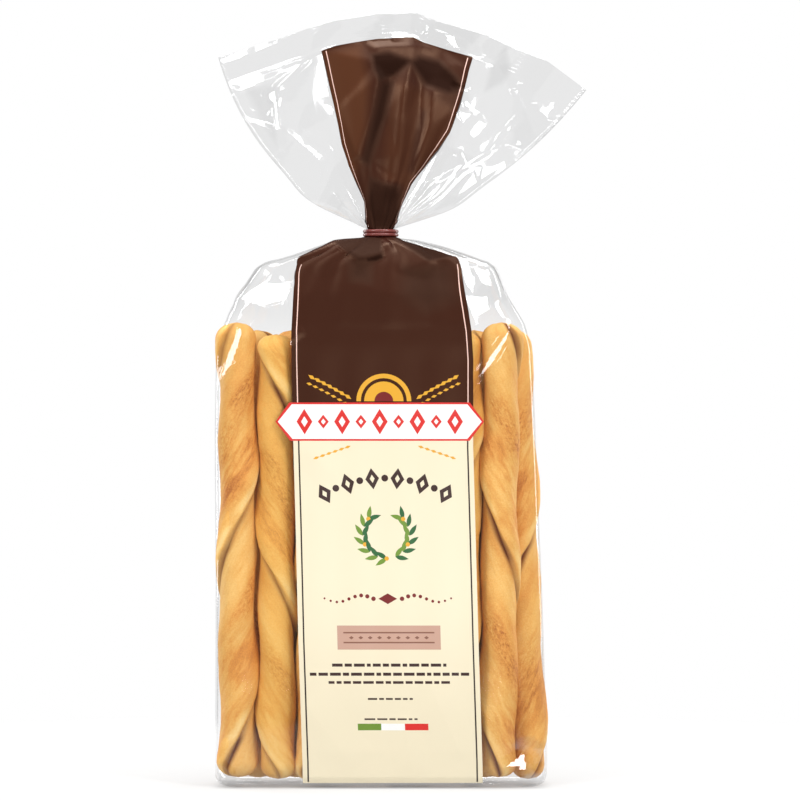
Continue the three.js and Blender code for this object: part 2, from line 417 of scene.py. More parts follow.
# Small flat facets of the front, each turned so that it mirrors one softbox to the camera:
# which softbox, and the corners (x, z) on the front view, in millimetres.
facetPatches = [
    ("keyLeft", [(-75.9, 343.6), (-36.8, 353.3), (-69.1, 339.6)]),
    ("keyLeft", [(-66.6, 328.4), (-52.0, 323.1), (-52.9, 320.6), (-66.1, 326.0)]),
    ("keyLeft", [(-78.8, 355.8), (-63.7, 361.6), (-51.0, 365.5), (-50.5, 363.1), (-63.7, 358.2),
              (-77.8, 353.3)]),
    ("keyLeft", [(-54.9, 338.7), (-51.9, 339.7), (-49.3, 321), (-51.6, 320.6)]),
    ("keyLeft", [(-46.6, 321.2), (-43.6, 321.2), (-27.8, 307.2), (-30.2, 306)]),
    ("keyLeft", [(-68.6, 237.7), (-57.8, 245.0), (-43.2, 245.5), (-45.1, 237.2), (-57.8, 233.8)]),
    ("keyLeft", leftSliver),
    ("keyLeft", rightSliver),
    ("keyRight", [(38.3, 256.7), (41.7, 257.2), (46.1, 246.9), (45.1, 240.1), (41.2, 246.9)]),
    ("keyRight", [(45.1, 252.8), (52.5, 251.8), (54.4, 243.0), (49.5, 245.0)]),
    ("keyRight", [(4.6, 368.4), (21.2, 369.4), (21.2, 366.0), (5.6, 364.5)]),
    ("keyRight", [(22.7, 371.9), (43.7, 365.0), (51.0, 358.2), (48.6, 356.7), (29.0, 365.0),
              (22.7, 368.0)]),
    ("keyRight", [(73.4, 333.3), (86.1, 334.3), (81.3, 326.5)]),
    ("keyRight", [(63.7, 340.6), (66.1, 340.6), (72.5, 330.9), (70.0, 329.4)]),
    ("keyRight", [(40.3, 333.8), (42.7, 334.3), (48.6, 329.4), (46.6, 327.4)]),
    ("keyRight", [(37.8, 329.4), (44.7, 328.9), (40.3, 324.0)]),
    ("keyRight", [(61.2, 312.8), (68.1, 309.9), (62.2, 303.0)]),
    ("keyRight", [(45.6, 302.1), (49.5, 302.6), (47.6, 296.7)]),
    ("keyRight", footSliver),
]

facetForm = dict(
    soft=0.8, out=1.3, sunk=0.5,  # width of its soft edge, and how far it may move out or in
    uneven=0.16, unevenPitch=9, unevenFrom=(240, 270),  # how its tilt varies, above this height
    depth=18,  # about how far in front of the middle it lies
    ribbedFrom=360,  # above this height the ribs of the seal show instead
)

# Broad folds of the printed film, as nets of flat facets: x, z and height of each corner in
# millimetres, and the corners that fold lines join.
panelNet = dict(corners=[
    (-29.5, 359, 0), (-21, 330, 0), (-14.4, 305, 0), (-9, 288, 0), (-4, 276, 0), (4, 276, 0),
    (12, 288, 0), (15, 294, 0), (28, 312, 0), (37, 331, 0), (40, 340, 0), (44, 352, 0),
    (30, 361, 0), (14, 366, 0), (-8, 364, 0),
    (-4, 353, 2.6), (-2.5, 345, 4.0), (-5, 328, 3.2), (-11, 308, 1.8),
    (4.5, 345, 0.8), (0.8, 328, 0.6), (-6.5, 306, 0.4),
    (13.6, 354.5, 2.2), (10.5, 340, 4.2), (8.8, 325, 3.8), (8.8, 308, 2.8), (7.5, 297, 1.8),
    (19.5, 341, 1.2), (19.8, 320, 1.0), (14, 302, 0.8),
    (25, 338, 2.8), (24, 322, 2.6), (19, 308, 1.8), (27, 347, 1.2), (33, 352, 1.2),
    (2, 292, 2.4), (5, 286, 0.2), (0, 285, 1.4), (-3, 360, 2.2), (13, 361.5, 1.8),
], folds=[
    (15, 16), (16, 17), (17, 18), (19, 20), (20, 21), (22, 23), (23, 24), (24, 25), (25, 26),
    (27, 28), (28, 29), (30, 31), (31, 32), (33, 10), (22, 33), (35, 36), (36, 37),
])
shoulderNet = dict(corners=[
    (-39.2, 257.3, 0), (-41.5, 245, 0), (-42.5, 232, 0), (-20, 224, 0), (0, 222, 0),
    (25, 224, 0), (43, 232, 0), (40, 246, 0), (37.5, 257.5, 0), (26, 262.3, 0),
    (7.3, 267, 0), (-7.4, 267.2, 0), (-22.7, 266.3, 0),
    (-22, 263.5, 2.2), (-10.7, 255.6, 3.4), (-4.7, 256.8, 3.0), (0.6, 258.4, 2.6),
    (-11.5, 254.2, 1.6), (-4.7, 255.2, 0.9), (1.5, 256.8, 0.8),
    (0.5, 265, 0.6), (2.2, 264, 1.4),
    (8, 264.5, 0.8), (12, 263, 1.4), (16.6, 260.3, 2.0), (22.7, 255, 2.4), (36, 257.4, 0.6),
    (8, 250, 1.0), (-15, 245, 1.2), (22, 247, 0.5), (12, 238, 1.2), (-28, 246, 0.6),
], folds=[
    (13, 14), (14, 15), (15, 16), (17, 18), (18, 19), (16, 20), (19, 21),
    (22, 23), (23, 24), (24, 25), (25, 26), (25, 29),
])

# Painted shade and painted highlight on the brown print: darker in the shade of its folds, and
# lighter, below nothing,
# where a facet catches the light: how much, over what soft edge, and corners in millimetres.
paintedFoldShades = [
    (-0.85, 5, [(-28, 358), (-10, 362), (-6, 342), (-7, 322), (-13, 295), (-16, 296), (-23, 328)]),
    (-0.4, 5, [(6, 346), (20, 340), (36, 331), (30, 312), (15, 292), (1, 292), (3, 322)]),
    (1.0, 3, [(-4.1, 357.2), (3.9, 358.6), (15.8, 354.5), (6.6, 347), (-0.4, 344), (-3.4, 350.2)]),
    (1.0, 3.5, [(14.7, 354), (19, 356.7), (28.6, 355), (37.2, 347), (40.5, 340), (32.9, 338.9),
                (22.2, 342.7)]),
    (0.8, 4, [(0.7, 343.8), (6.6, 344.8), (2.4, 326.6), (-5.7, 303), (-8.4, 305.1)]),
    (0.8, 4, [(-4.6, 296), (9.5, 293), (9.3, 279.3), (6.1, 271.8), (-3.4, 271.8), (-7.3, 283.6)]),
    (0.5, 4, [(20, 330), (22, 329), (19, 312), (16, 300), (14, 301), (18, 320)]),
    (0.6, 1.4, [(-22.7, 265.6), (-10.7, 256), (0.6, 258.6), (0, 268), (-8, 268)]),
    (1.0, 1.2, [(-6.7, 257.3), (0.8, 260), (1.1, 257.4), (-2, 256), (-6.4, 255.8)]),
    (0.8, 2, [(6.6, 267.5), (16.6, 267), (37.4, 258.4), (23.2, 256)]),
    (0.45, 9, [(12, 252), (34, 254), (36, 238), (22, 232), (11, 240)]),
    (0.5, 6, [(-15, 256), (-4.7, 255.6), (-5, 246), (-14, 247)]),
]


def insideShare(x, z, corners, soft):
    # 1 inside a convex outline and 0 outside, over a soft edge
    edges = list(zip(corners, corners[1:] + corners[:1]))
    area = sum(a[0] * b[1] - b[0] * a[1] for a, b in edges)
    nearest = np.full_like(x, 1e3)
    for (x0, z0), (x1, z1) in edges:
        away = (x1 - x0) * (z - z0) - (z1 - z0) * (x - x0)
        away *= math.copysign(1 / math.hypot(x1 - x0, z1 - z0), area)
        nearest = np.minimum(nearest, away)
    return np.clip(nearest / soft + 0.5, 0, 1)


def easedNet(x, z, net, ease=1.5):
    # the net's height with its fold lines rounded off
    total = 2 * netHeight(x, z, net)
    for shift in (-ease, ease):
        total = total + netHeight(x + shift, z, net) + netHeight(x, z + shift, net)
    return total / 6


def netHeight(x, z, net):
    # height of the net's flat facets, and 0 outside it
    flat = [Vector(corner[:2]) for corner in net["corners"]]
    result = geometry.delaunay_2d_cdt(flat, net["folds"], [], 0, 1e-4, True)
    total = np.zeros_like(x)
    for face in result[2]:
        (ax, az, ah), (bx, bz, bh), (cx, cz, ch) = [net["corners"][result[3][k][0]] for k in face]
        whole = (bz - cz) * (ax - cx) + (cx - bx) * (az - cz)
        first = ((bz - cz) * (x - cx) + (cx - bx) * (z - cz)) / whole
        second = ((cz - az) * (x - cx) + (ax - cx) * (z - cz)) / whole
        third = 1 - first - second
        inside = (first >= 0) & (second >= 0) & (third >= 0)
        total = np.where(inside, first * ah + second * bh + third * ch, total)
    return total


def mirrorTilt(softbox, x, z):
    # how a facet at x, z leans, per unit forward, to show the camera this softbox
    here = Vector((x, -facetForm["depth"], z)) * mm
    azimuth, elevation, distance = softboxes[softbox][:3]
    toLight = lightTarget + awayFrom(azimuth, elevation) * distance - here
    halfway = toLight.normalized() + (Vector(view["place"]) - here).normalized()
    return -halfway.x / halfway.y, -halfway.z / halfway.y


def turnFacets(place):
    # lays each patch of the front flat, as near to its tilt as it may move
    x, y, z = place
    form = facetForm
    for softbox, corners in facetPatches:
        middleX, middleZ = np.mean(corners, axis=0)
        tiltX, tiltZ = mirrorTilt(softbox, middleX, middleZ)
        share = insideShare(x, z, corners, form["soft"])
        if not np.any(share > 0):
            continue
        centre = np.average(y, weights=share)
        flat = centre + tiltX * (x - middleX) + tiltZ * (z - middleZ)
        y = y + np.clip(flat - y, -form["out"], form["sunk"]) * share
    return np.array([x, y, z])


def facetNormals(corners, count):
    # normals of the patches, and zeros elsewhere, where the film keeps its own
    x, y, z = corners.T
    form = facetForm
    front = np.arange(len(corners)) % count <= filmSteps["finer"] * filmSteps["back"]
    normals = np.zeros_like(corners)
    uneven = form["uneven"] * ramp(z, *form["unevenFrom"])
    sway, nod = (uneven * waveNoise(x / form["unevenPitch"] + 40, z / form["unevenPitch"], seed)
                 for seed in (17, 18))
    for softbox, outline in facetPatches:
        middle = np.mean(outline, axis=0)
        if middle[1] > form["ribbedFrom"]:
            continue
        tiltX, tiltZ = mirrorTilt(softbox, *middle)
        inside = front & (insideShare(x, z, outline, form["soft"]) > 0.5)
        leaning = np.stack([tiltX + sway, np.full_like(x, -1), tiltZ + nod], axis=1)
        leaning /= np.linalg.norm(leaning, axis=1)[:, None]
        normals[inside] = leaning[inside]
    return normals


wrinkles = dict(
    # creases of the back, spread by a seeded rule: where, clear of the neck, and how large
    seed=31, backCount=34, backSpan=(-75, 95), backLevels=(224, 365), neckClear=(262, 282),
    backHeight=(0.4, 1.2), backWidth=(3, 9), backLength=(12, 34), backSwing=0.5, valleys=0.35,
    # folds that run out from the tie, up and, over a shorter stretch, down
    pleatHeight=0.13, pleatReach=16, pleats=11, pleatStart=5, pleatsDown=2.4, pleatBase=6,
    facetHeight=0.5, facetPitch=30, chipHeight=0.03, chipPitch=8, chipsAbove=(0.0, 0.35),
    # where the film hangs loose: the shoulder, the foot and the fan
    looseShoulder=(224, 242), looseFoot=(12, 4), footShare=0.6, looseFan=(0.03, 0.3),
    belowShare=0.55, calmAbove=0.55, calmBelow=0.75, calmShare=0.9,  # the printed middle is calm
    ripple=0.09, ripplePitch=15,
    panelSwell=1.35, shoulderSwell=1.25,  # how much stronger the folds are than drawn
    # how far the film may sink: a share of the fan's depth, and over and above the sticks
    roomFan=0.75, roomTaut=0.9, roomSlack=2, roomFrom=(224, 236), tieClear=2.2, edgeEase=30,
    crimpHeight=0.055, crimpPitch=1.9, buckle=0.9,
)


def scatterCreases():
    # the same kind of creases for the back
    rule = wrinkles
    dice = np.random.default_rng(rule["seed"])
    neckLow, neckHigh = rule["neckClear"]
    creases = []
    while len(creases) < rule["backCount"]:
        x, z = dice.uniform(*rule["backSpan"]), dice.uniform(*rule["backLevels"])
        if neckLow < z < neckHigh:
            continue
        turn = dice.uniform(0, math.pi)
        if z > neckHigh:  # most creases of the fan run towards the neck
            turn = math.atan2(z - neckLow, x) + dice.normal(0, rule["backSwing"])
        length = dice.uniform(*rule["backLength"]) / 2
        ridge = dice.uniform(*rule["backHeight"])
        ridge *= dice.choice([-1, 1], p=[rule["valleys"], 1 - rule["valleys"]])
        near, far = dice.uniform(*rule["backWidth"], 2)
        dx, dz = length * math.cos(turn), length * math.sin(turn)
        creases.append((x - dx, z - dz, x + dx, z + dz, ridge, near, far))
    return creases


backCreases = scatterCreases()


def creaseHeight(x, z, creases):
    total = np.zeros_like(x)
    for x0, z0, x1, z1, height, near, far in creases:
        length = math.hypot(x1 - x0, z1 - z0)
        tx, tz = (x1 - x0) / length, (z1 - z0) / length
        along = ((x - x0) * tx + (z - z0) * tz) / length
        offset = (z - z0) * tx - (x - x0) * tz
        slope = 1 - np.where(offset < 0, -offset / near, offset / far)
        taper = np.clip(1 - (2 * along - 1) ** 4, 0, 1)
        total += height * np.maximum(slope, 0) * taper * (along > 0) * (along < 1)
    return total


def filmPlace(across, side, level):
    # the plain form with its folds, creases, ripples and crimped seal
    form, rule = bagForm, wrinkles
    inFan, belowNeck = level > form["neckTop"], level < form["neckFoot"]
    base = basePlace(across, side, level)
    other = basePlace(across, -side, level)
    x, y, z = base
    halfGap = np.abs(y - other[1]) / 2
    normal = sheetNormal(reflected(basePlace), across, side, level, 0.8)
    rise = creaseHeight(x, z, frontCreases if side < 0 else backCreases)
    if side < 0:
        rise = rise + rule["panelSwell"] * easedNet(x, z, panelNet)
        rise = rise + rule["shoulderSwell"] * easedNet(x, z, shoulderNet)
    calmHalf = np.where(belowNeck, rule["calmBelow"], rule["calmAbove"])
    calm = 1 - rule["calmShare"] * np.exp(-(across / calmHalf) ** 4)

    # folds that run out from the tie
    flare = np.maximum(level - form["neckTop"], (form["neckFoot"] - level) * rule["pleatsDown"])
    radial = np.exp(-np.maximum(flare, 0) / rule["pleatReach"])
    radial = radial * np.clip(flare / rule["pleatStart"], 0, 1)
    drift = 0.5 * waveNoise(across * 3 + 20, level / 30 + 40, 7)
    folds = facetNoise(across * rule["pleats"] + drift + 60, level / 90 + 3 * side + 9, 5)
    deep = np.hypot(halfGap, rule["pleatBase"])
    rise = rise + folds * radial * rule["pleatHeight"] * deep * calm

    # flat facets where the film hangs loose, and ripples where it is taut
    share = fanShare(level)
    loose = np.maximum(ramp(z, *rule["looseShoulder"]),
                       rule["footShare"] * ramp(z, *rule["looseFoot"]))
    loose = loose * np.where(inFan, ramp(share, *rule["looseFan"]), rule["belowShare"])
    pitch, chip = rule["facetPitch"], rule["chipPitch"]
    facets = facetNoise(x / pitch + 50, z / pitch + 7 * side + 20, 8) * rule["facetHeight"]
    chips = facetNoise(x / chip + 60, z / chip + 3 * side + 50, 9) * rule["chipHeight"]
    patchy = ramp(waveNoise(x / 30 + 33, z / 26 + 5 * side + 21, 10), *rule["chipsAbove"])
    rise = rise + (facets + chips * patchy) * loose * calm
    ripple = waveNoise(x / rule["ripplePitch"] + 50, z / rule["ripplePitch"] + 7 * side + 20, 11)
    rise = rise + ripple * rule["ripple"] * belowNeck

    # kept off the sticks, the other sheet, the tie and the seal
    sealFoot = 1 - form["sealHeight"] / form["fanLength"]
    sealed = ramp(share, sealFoot - 0.01, sealFoot + 0.01)
    room = rule["roomTaut"] + rule["roomSlack"] * ramp(z, *rule["roomFrom"])
    rise = np.maximum(rise, -np.where(inFan, rule["roomFan"] * halfGap, room))
    fromTie = np.abs(level - 0.5 * (form["neckFoot"] + form["neckTop"]))
    still = np.clip(fromTie - rule["tieClear"], 0, 1)
    edge = np.clip((1 - np.abs(across)) * rule["edgeEase"], 0, 1)
    place = base + normal * (rise * (1 - sealed) * still * ramp(level, 0, 4) * edge)
    place[1] += sealed * rule["buckle"] * waveNoise(across * 7 + 11, level / 40, 12)
    if side < 0:
        place = turnFacets(place)
    crimp = rule["crimpHeight"] * np.sin(2 * math.pi * level / rule["crimpPitch"])
    place[1] += sealed * crimp * edge
    return place


filmSteps = dict(
    back=72, finer=3,  # columns across the back sheet, and how many in front for each
    stretches=[(0, 6, 6), (6, 26, 12), (26, 192, 36), (192, 220, 28), (220, 254, 36),
               (254, 268, 42), (268, 274, 12), (274, 367.8, 129), (367.8, 380.2, 32)],
    baseRings=(0.85, 0.5, 0.15),  # the flat base closes in over these
)


def filmMesh():
    # closed tube: rings from the base to the free edge, each sheet joined to the other
    steps = filmSteps
    levels = np.concatenate([np.linspace(a, b, n, endpoint=False) for a, b, n in
                             steps["stretches"]] + [[steps["stretches"][-1][1]]])[:, None]
    finer = steps["finer"]
    frontAcross = np.linspace(-1, 1, finer * steps["back"] + 1)[None, :]
    backAcross = np.linspace(1, -1, steps["back"] + 1)[None, 1:-1]
    front = filmPlace(frontAcross + 0 * levels, -1, levels + 0 * frontAcross)
    back = filmPlace(backAcross + 0 * levels, 1, levels + 0 * backAcross)
    rings = np.concatenate([front, back], axis=2).transpose(1, 2, 0)
    closing = [rings[0] * (1, share, 1) for share in steps["baseRings"][::-1]]
    rings = np.concatenate([np.array(closing), rings])
    count, width = rings.shape[:2]
    corner = np.arange(count * width).reshape(count, width)
    right = np.roll(corner, -1, axis=1)
    faces = np.stack([corner[:-1], right[:-1], right[1:], corner[1:]], axis=-1)
    faces = faces.reshape(-1, 4).tolist()
    for ring, turned in ((corner[0], True), (corner[-1], False)):
        for k in range(steps["back"]):
            low, high = finer * k, finer * (k + 1)
            rearLow, rearHigh = ring[-k] if k else ring[0], ring[-k - 1]
            if k == steps["back"] - 1:
                rearHigh = ring[high]
            cap = [(ring[low], ring[low + 1], rearHigh, rearLow)]
            cap += [(ring[j], ring[j + 1], rearHigh) for j in range(low + 1, high)]
            for face in cap:
                loop = list(dict.fromkeys(int(v) for v in face))
                if len(loop) > 2:
                    faces.append(loop[::-1] if turned else loop)
    return rings.reshape(-1, 3), faces


filmLook = {"Base Color": (0.56, 0.56, 0.57, 1), "Metallic": 1, "Roughness": 0.07}

# share of light the film holds back: over the sticks, above them, and where a fold is double
filmVeils = dict(
    taut=0.07, slack=0.12, slackFrom=(214, 236),
    doubled=0.045, doubledFrom=(226, 240), foldPitch=30, large=0.22, small=0.4, finer=1.7,
    foot=0.3, footReach=7, footPitch=(9, 5),
    edge=0.14, edgePower=3,  # added where the film is seen along its surface
)


def filmMaterial():
    # mirror-like film, seen through where its haze is low
    material, write, shader = newMaterial("clearFilm", filmLook)
    facing = write.add("ShaderNodeLayerWeight", {"Blend": 0.5}).outputs["Facing"]
    steep = write.calc("POWER", facing, filmVeils["edgePower"])
    alpha = write.calc("MULTIPLY_ADD", steep, filmVeils["edge"], write.attribute("haze"))
    write.put(shader.inputs["Alpha"], alpha)
    return material


# where the front is hazier and shows a whiter veil, partly where a fold lies double and partly as a
# painted highlight where the film gleams over the slivers and at the foot: added share, soft edge,
# and corners in millimetres
foldsAndPaintedGlints = [
    # at the foot: painted highlights as a whiter veil, where the crumpled film also lies double
    (0.14, 1, [(63.9, 20.6), (67.1, 18.3), (73.4, 20), (74.9, 24.6), (67.9, 25.4)]),
    (0.14, 1, [(73.4, 20), (78.1, 15), (79, 21), (74.9, 24.6)]),
    (0.1, 0.6, footSliver),
    (0.25, 1.5, [(63.5, 9.5), (66, 3), (80, 3), (80.5, 11), (73, 7.5)]),
    # painted highlights: a whiter veil over the slivers that gleam above the outer sticks
    (0.06, 0.8, leftSliver),
    (0.06, 0.8, rightSliver),
    (0.12, 3, [(51.5, 340), (60, 344), (64, 350), (61.2, 361.3), (54, 352)]),
    (0.1, 4, [(-66, 341), (-50, 343), (-52, 316), (-60, 328)]),
]


def filmVeil(corners, count):
    # how much the film hides: more in the fan, where some folds lie double, and more where a whiter
    # veil paints highlights
    form = filmVeils
    x, y, z = corners.T
    rear = (np.arange(len(corners)) % count > filmSteps["finer"] * filmSteps["back"]) * 5
    veil = form["taut"] + (form["slack"] - form["taut"]) * ramp(z, *form["slackFrom"])
    pitch, finer = form["foldPitch"], form["finer"]
    large = facetNoise(x / pitch + 50 + rear, z / pitch + 20, 14) > form["large"]
    small = facetNoise(x / pitch * finer + 60, z / pitch * finer + 50 + rear, 15) > form["small"]
    doubled = (large + 0.7 * small) * form["doubled"] * ramp(z, *form["doubledFrom"])
    wide, tall = form["footPitch"]
    foot = 0.6 + 0.8 * waveNoise(x / wide + 60, z / tall + 30 + rear, 16)
    veil = veil + doubled + form["foot"] * foot.clip(0, 1) * ramp(z, form["footReach"], 1)
    # folds lying double, and painted highlights as a whiter veil
    for strength, soft, outline in foldsAndPaintedGlints:
        veil = veil + strength * insideShare(x, z, outline, soft) * (rear == 0)
    return veil


corners, faces = filmMesh()
ringCount = (filmSteps["finer"] + 1) * filmSteps["back"]
bagFilm = pieceFrom("bag_film", corners, faces, [filmMaterial()],
                    normals=facetNormals(corners, ringCount))
veil = filmVeil(corners, ringCount)
bagFilm.data.attributes.new("haze", "FLOAT", "POINT").data.foreach_set("value", veil)
settle(bagFilm, "film_bag")
print("film:", len(bagFilm.data.vertices), "corners")


# Printed bands. A design is drawn flat, u across and q up the film, in millimetres.

bandForm = dict(
    half=44.1, foot=2.6, top=367.6, boundary=178, shoulder=254.2,
    borderInset=2.3, borderWidth=0.5, ruleWidth=0.75,
    proud=0.25, boundaryStep=1.2, gridStep=1.35, gridClear=0.35,
    closeFrom=252, closeTo=274, closeStep=0.45,  # rows lie closer where the film is gathered
)

# height, and x of the band's left and right edges, in millimetres, below the neck
bandSides = np.array([
    (0, -37.6, 49.7), (12.7, -37.8, 49.5), (71, -39.8, 47.6), (130, -41.2, 46), (165, -42.2, 45),
    (208, -43.2, 45.1), (222, -43.2, 44.2), (232, -42.7, 42.7), (242, -42.2, 40.8),
    (252, -41.2, 39.3), (256.2, -40.6, 38.2), (257.8, -39.4, 37.4), (260, -35.8, 29),
    (263, -29.4, 20.7), (266.3, -19.5, 11), (267.6, -8.8, 8.4),
])

# level along the film above, and the places across it of the same edges
bandFan = np.array([
    (268.4, -0.75, 0.75), (272.2, -0.72, 0.7), (279, -0.52, 0.5), (287, -0.425, 0.405),
    (297.6, -0.465, 0.385), (308, -0.49, 0.45), (318.6, -0.5, 0.489), (329.4, -0.485, 0.503),
    (340, -0.478, 0.472), (350, -0.477, 0.447), (361, -0.475, 0.416), (380.2, -0.48, 0.383),
])


def placeAcross(x, z):
    # the place across the film where its front passes x at a height in the body
    left, right, corner, pleat, flat, arc, straight = sectionAt(z)
    half, middle = (right - left) / 2, (right + left) / 2
    out = np.minimum(np.abs(x - middle), 0.98 * half)
    walked = np.minimum(out, flat) + corner * np.arcsin(np.clip((out - flat) / corner, 0, 1))
    return np.sign(x - middle) * walked / (flat + arc + straight)


def bandAcross(u, level):
    # u from the band's left edge, at -half, to its right edge, at half
    share = (u / bandForm["half"] + 1) / 2
    roof = bandSides[-1, 0]
    low = np.minimum(level, roof)
    edges = []
    for column in (1, 2):
        x = np.interp(level, bandSides[:, 0], bandSides[:, column])
        aim = x
        for _ in range(3):  # the folds of the film carry the edge sideways
            below = placeAcross(aim, low)
            aim = aim + x - bodyPlace(below, -1, low)[0]
        above = np.interp(level, bandFan[:, 0], bandFan[:, column])
        edges.append(below + (above - below) * ramp(level, roof - 0.3, bandFan[0, 0]))
    return edges[0] + share * (edges[1] - edges[0])


def densify(points, step):
    # the same closed outline with corners no further apart than step
    outline = []
    for (x0, y0), (x1, y1) in zip(points, points[1:] + points[:1]):
        count = max(1, math.ceil(math.hypot(x1 - x0, y1 - y0) / step))
        for k in range(count):
            outline.append((x0 + (x1 - x0) * k / count, y0 + (y1 - y0) * k / count))
    return outline


def block(u0, q0, u1, q1):
    return [(u0, q0), (u1, q0), (u1, q1), (u0, q1)]


def turned(points, u, q, turn):
    # points turned about the origin, then moved to (u, q)
    c, s = math.cos(turn), math.sin(turn)
    return [(u + a * c - b * s, q + a * s + b * c) for a, b in points]


def lozenge(u, q, halfWidth, halfHeight, turn=0):
    points = [(halfWidth, 0), (0, halfHeight), (-halfWidth, 0), (0, -halfHeight)]
    return turned(points, u, q, turn)


def leaf(u, q, length, width, turn, steps=6):
    # a pointed leaf that grows from (u, q)
    shares = [k / steps for k in range(steps + 1)]
    edge = [(k * length, width / 2 * math.sin(math.pi * k ** 0.8)) for k in shares]
    return turned([(a, -b) for a, b in edge] + edge[-2:0:-1], u, q, turn)


def disc(u, q, radius, steps=16, start=0.0, end=2 * math.pi):
    # a disc, or a slice of one with a straight side
    whole = end - start > 6.2
    count = steps if whole else steps + 1
    turns = [start + (end - start) * k / steps for k in range(count)]
    return [(u + radius * math.cos(t), q + radius * math.sin(t)) for t in turns]


def bandFields(edgeRules):
    # two fields of colour with rules along both edges; each rule is (ink, width, foot, top)
    band = bandForm
    half = band["half"]
    shapes = [
        ("cream", block(-half, band["foot"], half, band["boundary"])),
        ("brown", block(-half, band["boundary"], half, band["top"])),
    ]
    outer = half - band["borderInset"]
    for sign in (-1, 1):
        for ink, width, foot, top in edgeRules:
            u0, u1 = sorted((sign * outer, sign * (outer - width)))
            shapes.append((ink, block(u0, foot, u1, top)))
    return shapes


def barLine(dice, u, stop, q, tall, longest):
    # a line of short bars of uneven length
    bars = []
    while u < stop:
        wide = min(dice.uniform(1.6, longest), stop - u)
        if wide > 0.8:
            bars.append(("inkBrown", block(u, q - tall / 2, u + wide, q + tall / 2)))
        u += wide + 1
    return bars


def frontDesign():
    # (ink, outline) from the lowest to the topmost
    band = bandForm
    shapes = bandFields((
        ("rule", band["ruleWidth"], band["foot"] + 0.5, band["boundary"] - 8),
        ("paleRule", band["borderWidth"], band["boundary"] + 8, band["shoulder"]),
        ("paleRule", band["borderWidth"], band["closeTo"], band["top"] - 1)))
    # rising half disc and sprays of lozenges over the plaque
    plaque = dict(low=168.6, high=187.2, half=51, tip=7, frame=0.9, shift=-1.6)
    crown = plaque["high"] + 0.6
    middle = 0.5
    for ink, radius, steps in (("gold", 13.4, 22), ("brown", 11.2, 20), ("gold", 9.6, 18),
                               ("darkRed", 4.6, 14)):
        shapes.append((ink, disc(middle, crown, radius, steps, 0, math.pi)))
    for sign in (-1, 1):
        for k in range(7):
            u, q = middle + sign * (17.5 + 2.9 * k), crown + 2.2 + 1.75 * k - 0.03 * k * k
            shapes.append(("gold", lozenge(u, q, 2.0, 0.95, sign * 0.62)))
            shapes.append(("gold", lozenge(u + sign * 1.2, q - 3.2, 1.5, 0.7, sign * 0.3)))
        for k in range(6):
            u, q = middle + sign * (18 + 3.1 * k), plaque["low"] - 3 - 1.05 * k
            shapes.append(("gold", lozenge(u, q, 1.7, 0.7, -sign * 0.35)))
    for inset, ink in ((0, "red"), (plaque["frame"], "white")):
        low, high = plaque["low"] + inset, plaque["high"] - inset
        reach, tip = plaque["half"] - 1.3 * inset, plaque["tip"]
        middle, shift = (low + high) / 2, plaque["shift"]
        shapes.append((ink, [
            (shift - reach, middle), (shift - reach + tip, low), (shift + reach - tip, low),
            (shift + reach, middle), (shift + reach - tip, high), (shift - reach + tip, high)]))
    middle = (plaque["low"] + plaque["high"]) / 2
    for k in range(9):
        u = plaque["shift"] + (k - 4) * 9.2
        wide, tall = (3.9, 6.2) if k % 2 == 0 else (2.7, 3.4)
        shapes.append(("red", lozenge(u, middle, wide, tall)))
        shapes.append(("white", lozenge(u, middle, wide * 0.42, tall * 0.42)))
    # arch of dark lozenges and discs
    for k in range(11):
        turn = (k - 5) * 0.1
        u, q = 0.3 + 62 * math.sin(turn), 88.5 + 62 * math.cos(turn)
        if k % 2 == 0:
            shapes.append(("inkBrown", lozenge(u, q, 3.4, 5.2, -turn)))
            shapes.append(("cream", lozenge(u, q, 1.2, 2.0, -turn)))
        else:
            shapes.append(("inkBrown", disc(u, q, 1.7, 12)))
    # a wreath of leaves, open at the top
    for k in range(13):
        turn = math.radians(-90 + (k - 6) * 22)
        u, q = 0.2 + 11.5 * math.cos(turn), 123 + 11.5 * math.sin(turn)
        growth = turn + (math.pi / 2 if k > 6 else -math.pi / 2)
        for tilt, ink in ((0.55, "leafGreen"), (-0.55, "leafDark")):
            shapes.append((ink, leaf(u, q, 6.6, 2.3, growth + tilt)))
        if k % 3 == 0:
            shapes.append(("gold", disc(u, q, 1.1, 10)))
    # flourish: a tapering row of dots either side of a lozenge
    shapes.append(("darkRed", lozenge(0.2, 92, 4.6, 2.6)))
    for sign in (-1, 1):
        for k in range(9):
            wave = 1.6 * math.sin(k * 0.8)
            shapes.append(("darkRed", disc(0.2 + sign * (7 + 3 * k), 92 + wave, 1.15 - 0.08 * k, 9)))
    # tan panel with rules
    shapes.append(("tan", block(-25, 67.3, 25.6, 79)))
    shapes.append(("tanRule", block(-22, 75.2, 22.6, 75.9)))
    shapes.append(("tanRule", block(-22, 70.4, 22.6, 71.1)))
    for k in range(9):
        shapes.append(("tanRule", lozenge(0.3 + (k - 4) * 4.6, 73.1, 1.2, 0.8)))
    dice = np.random.default_rng(4)
    for q, reach, tall in ((59.8, 28, 1.5), (55.4, 39, 1.5), (51.4, 30, 1.3), (43.4, 11, 0.9),
                           (33.6, 13, 0.8)):
        shapes += barLine(dice, -reach, reach, q, tall, 5.4)
    for ink, u in (("leafGreen", -16.4), ("white", -4.9), ("red", 6.7)):
        shapes.append((ink, block(u, 28.2, u + 11.5, 31.4)))
    return shapes


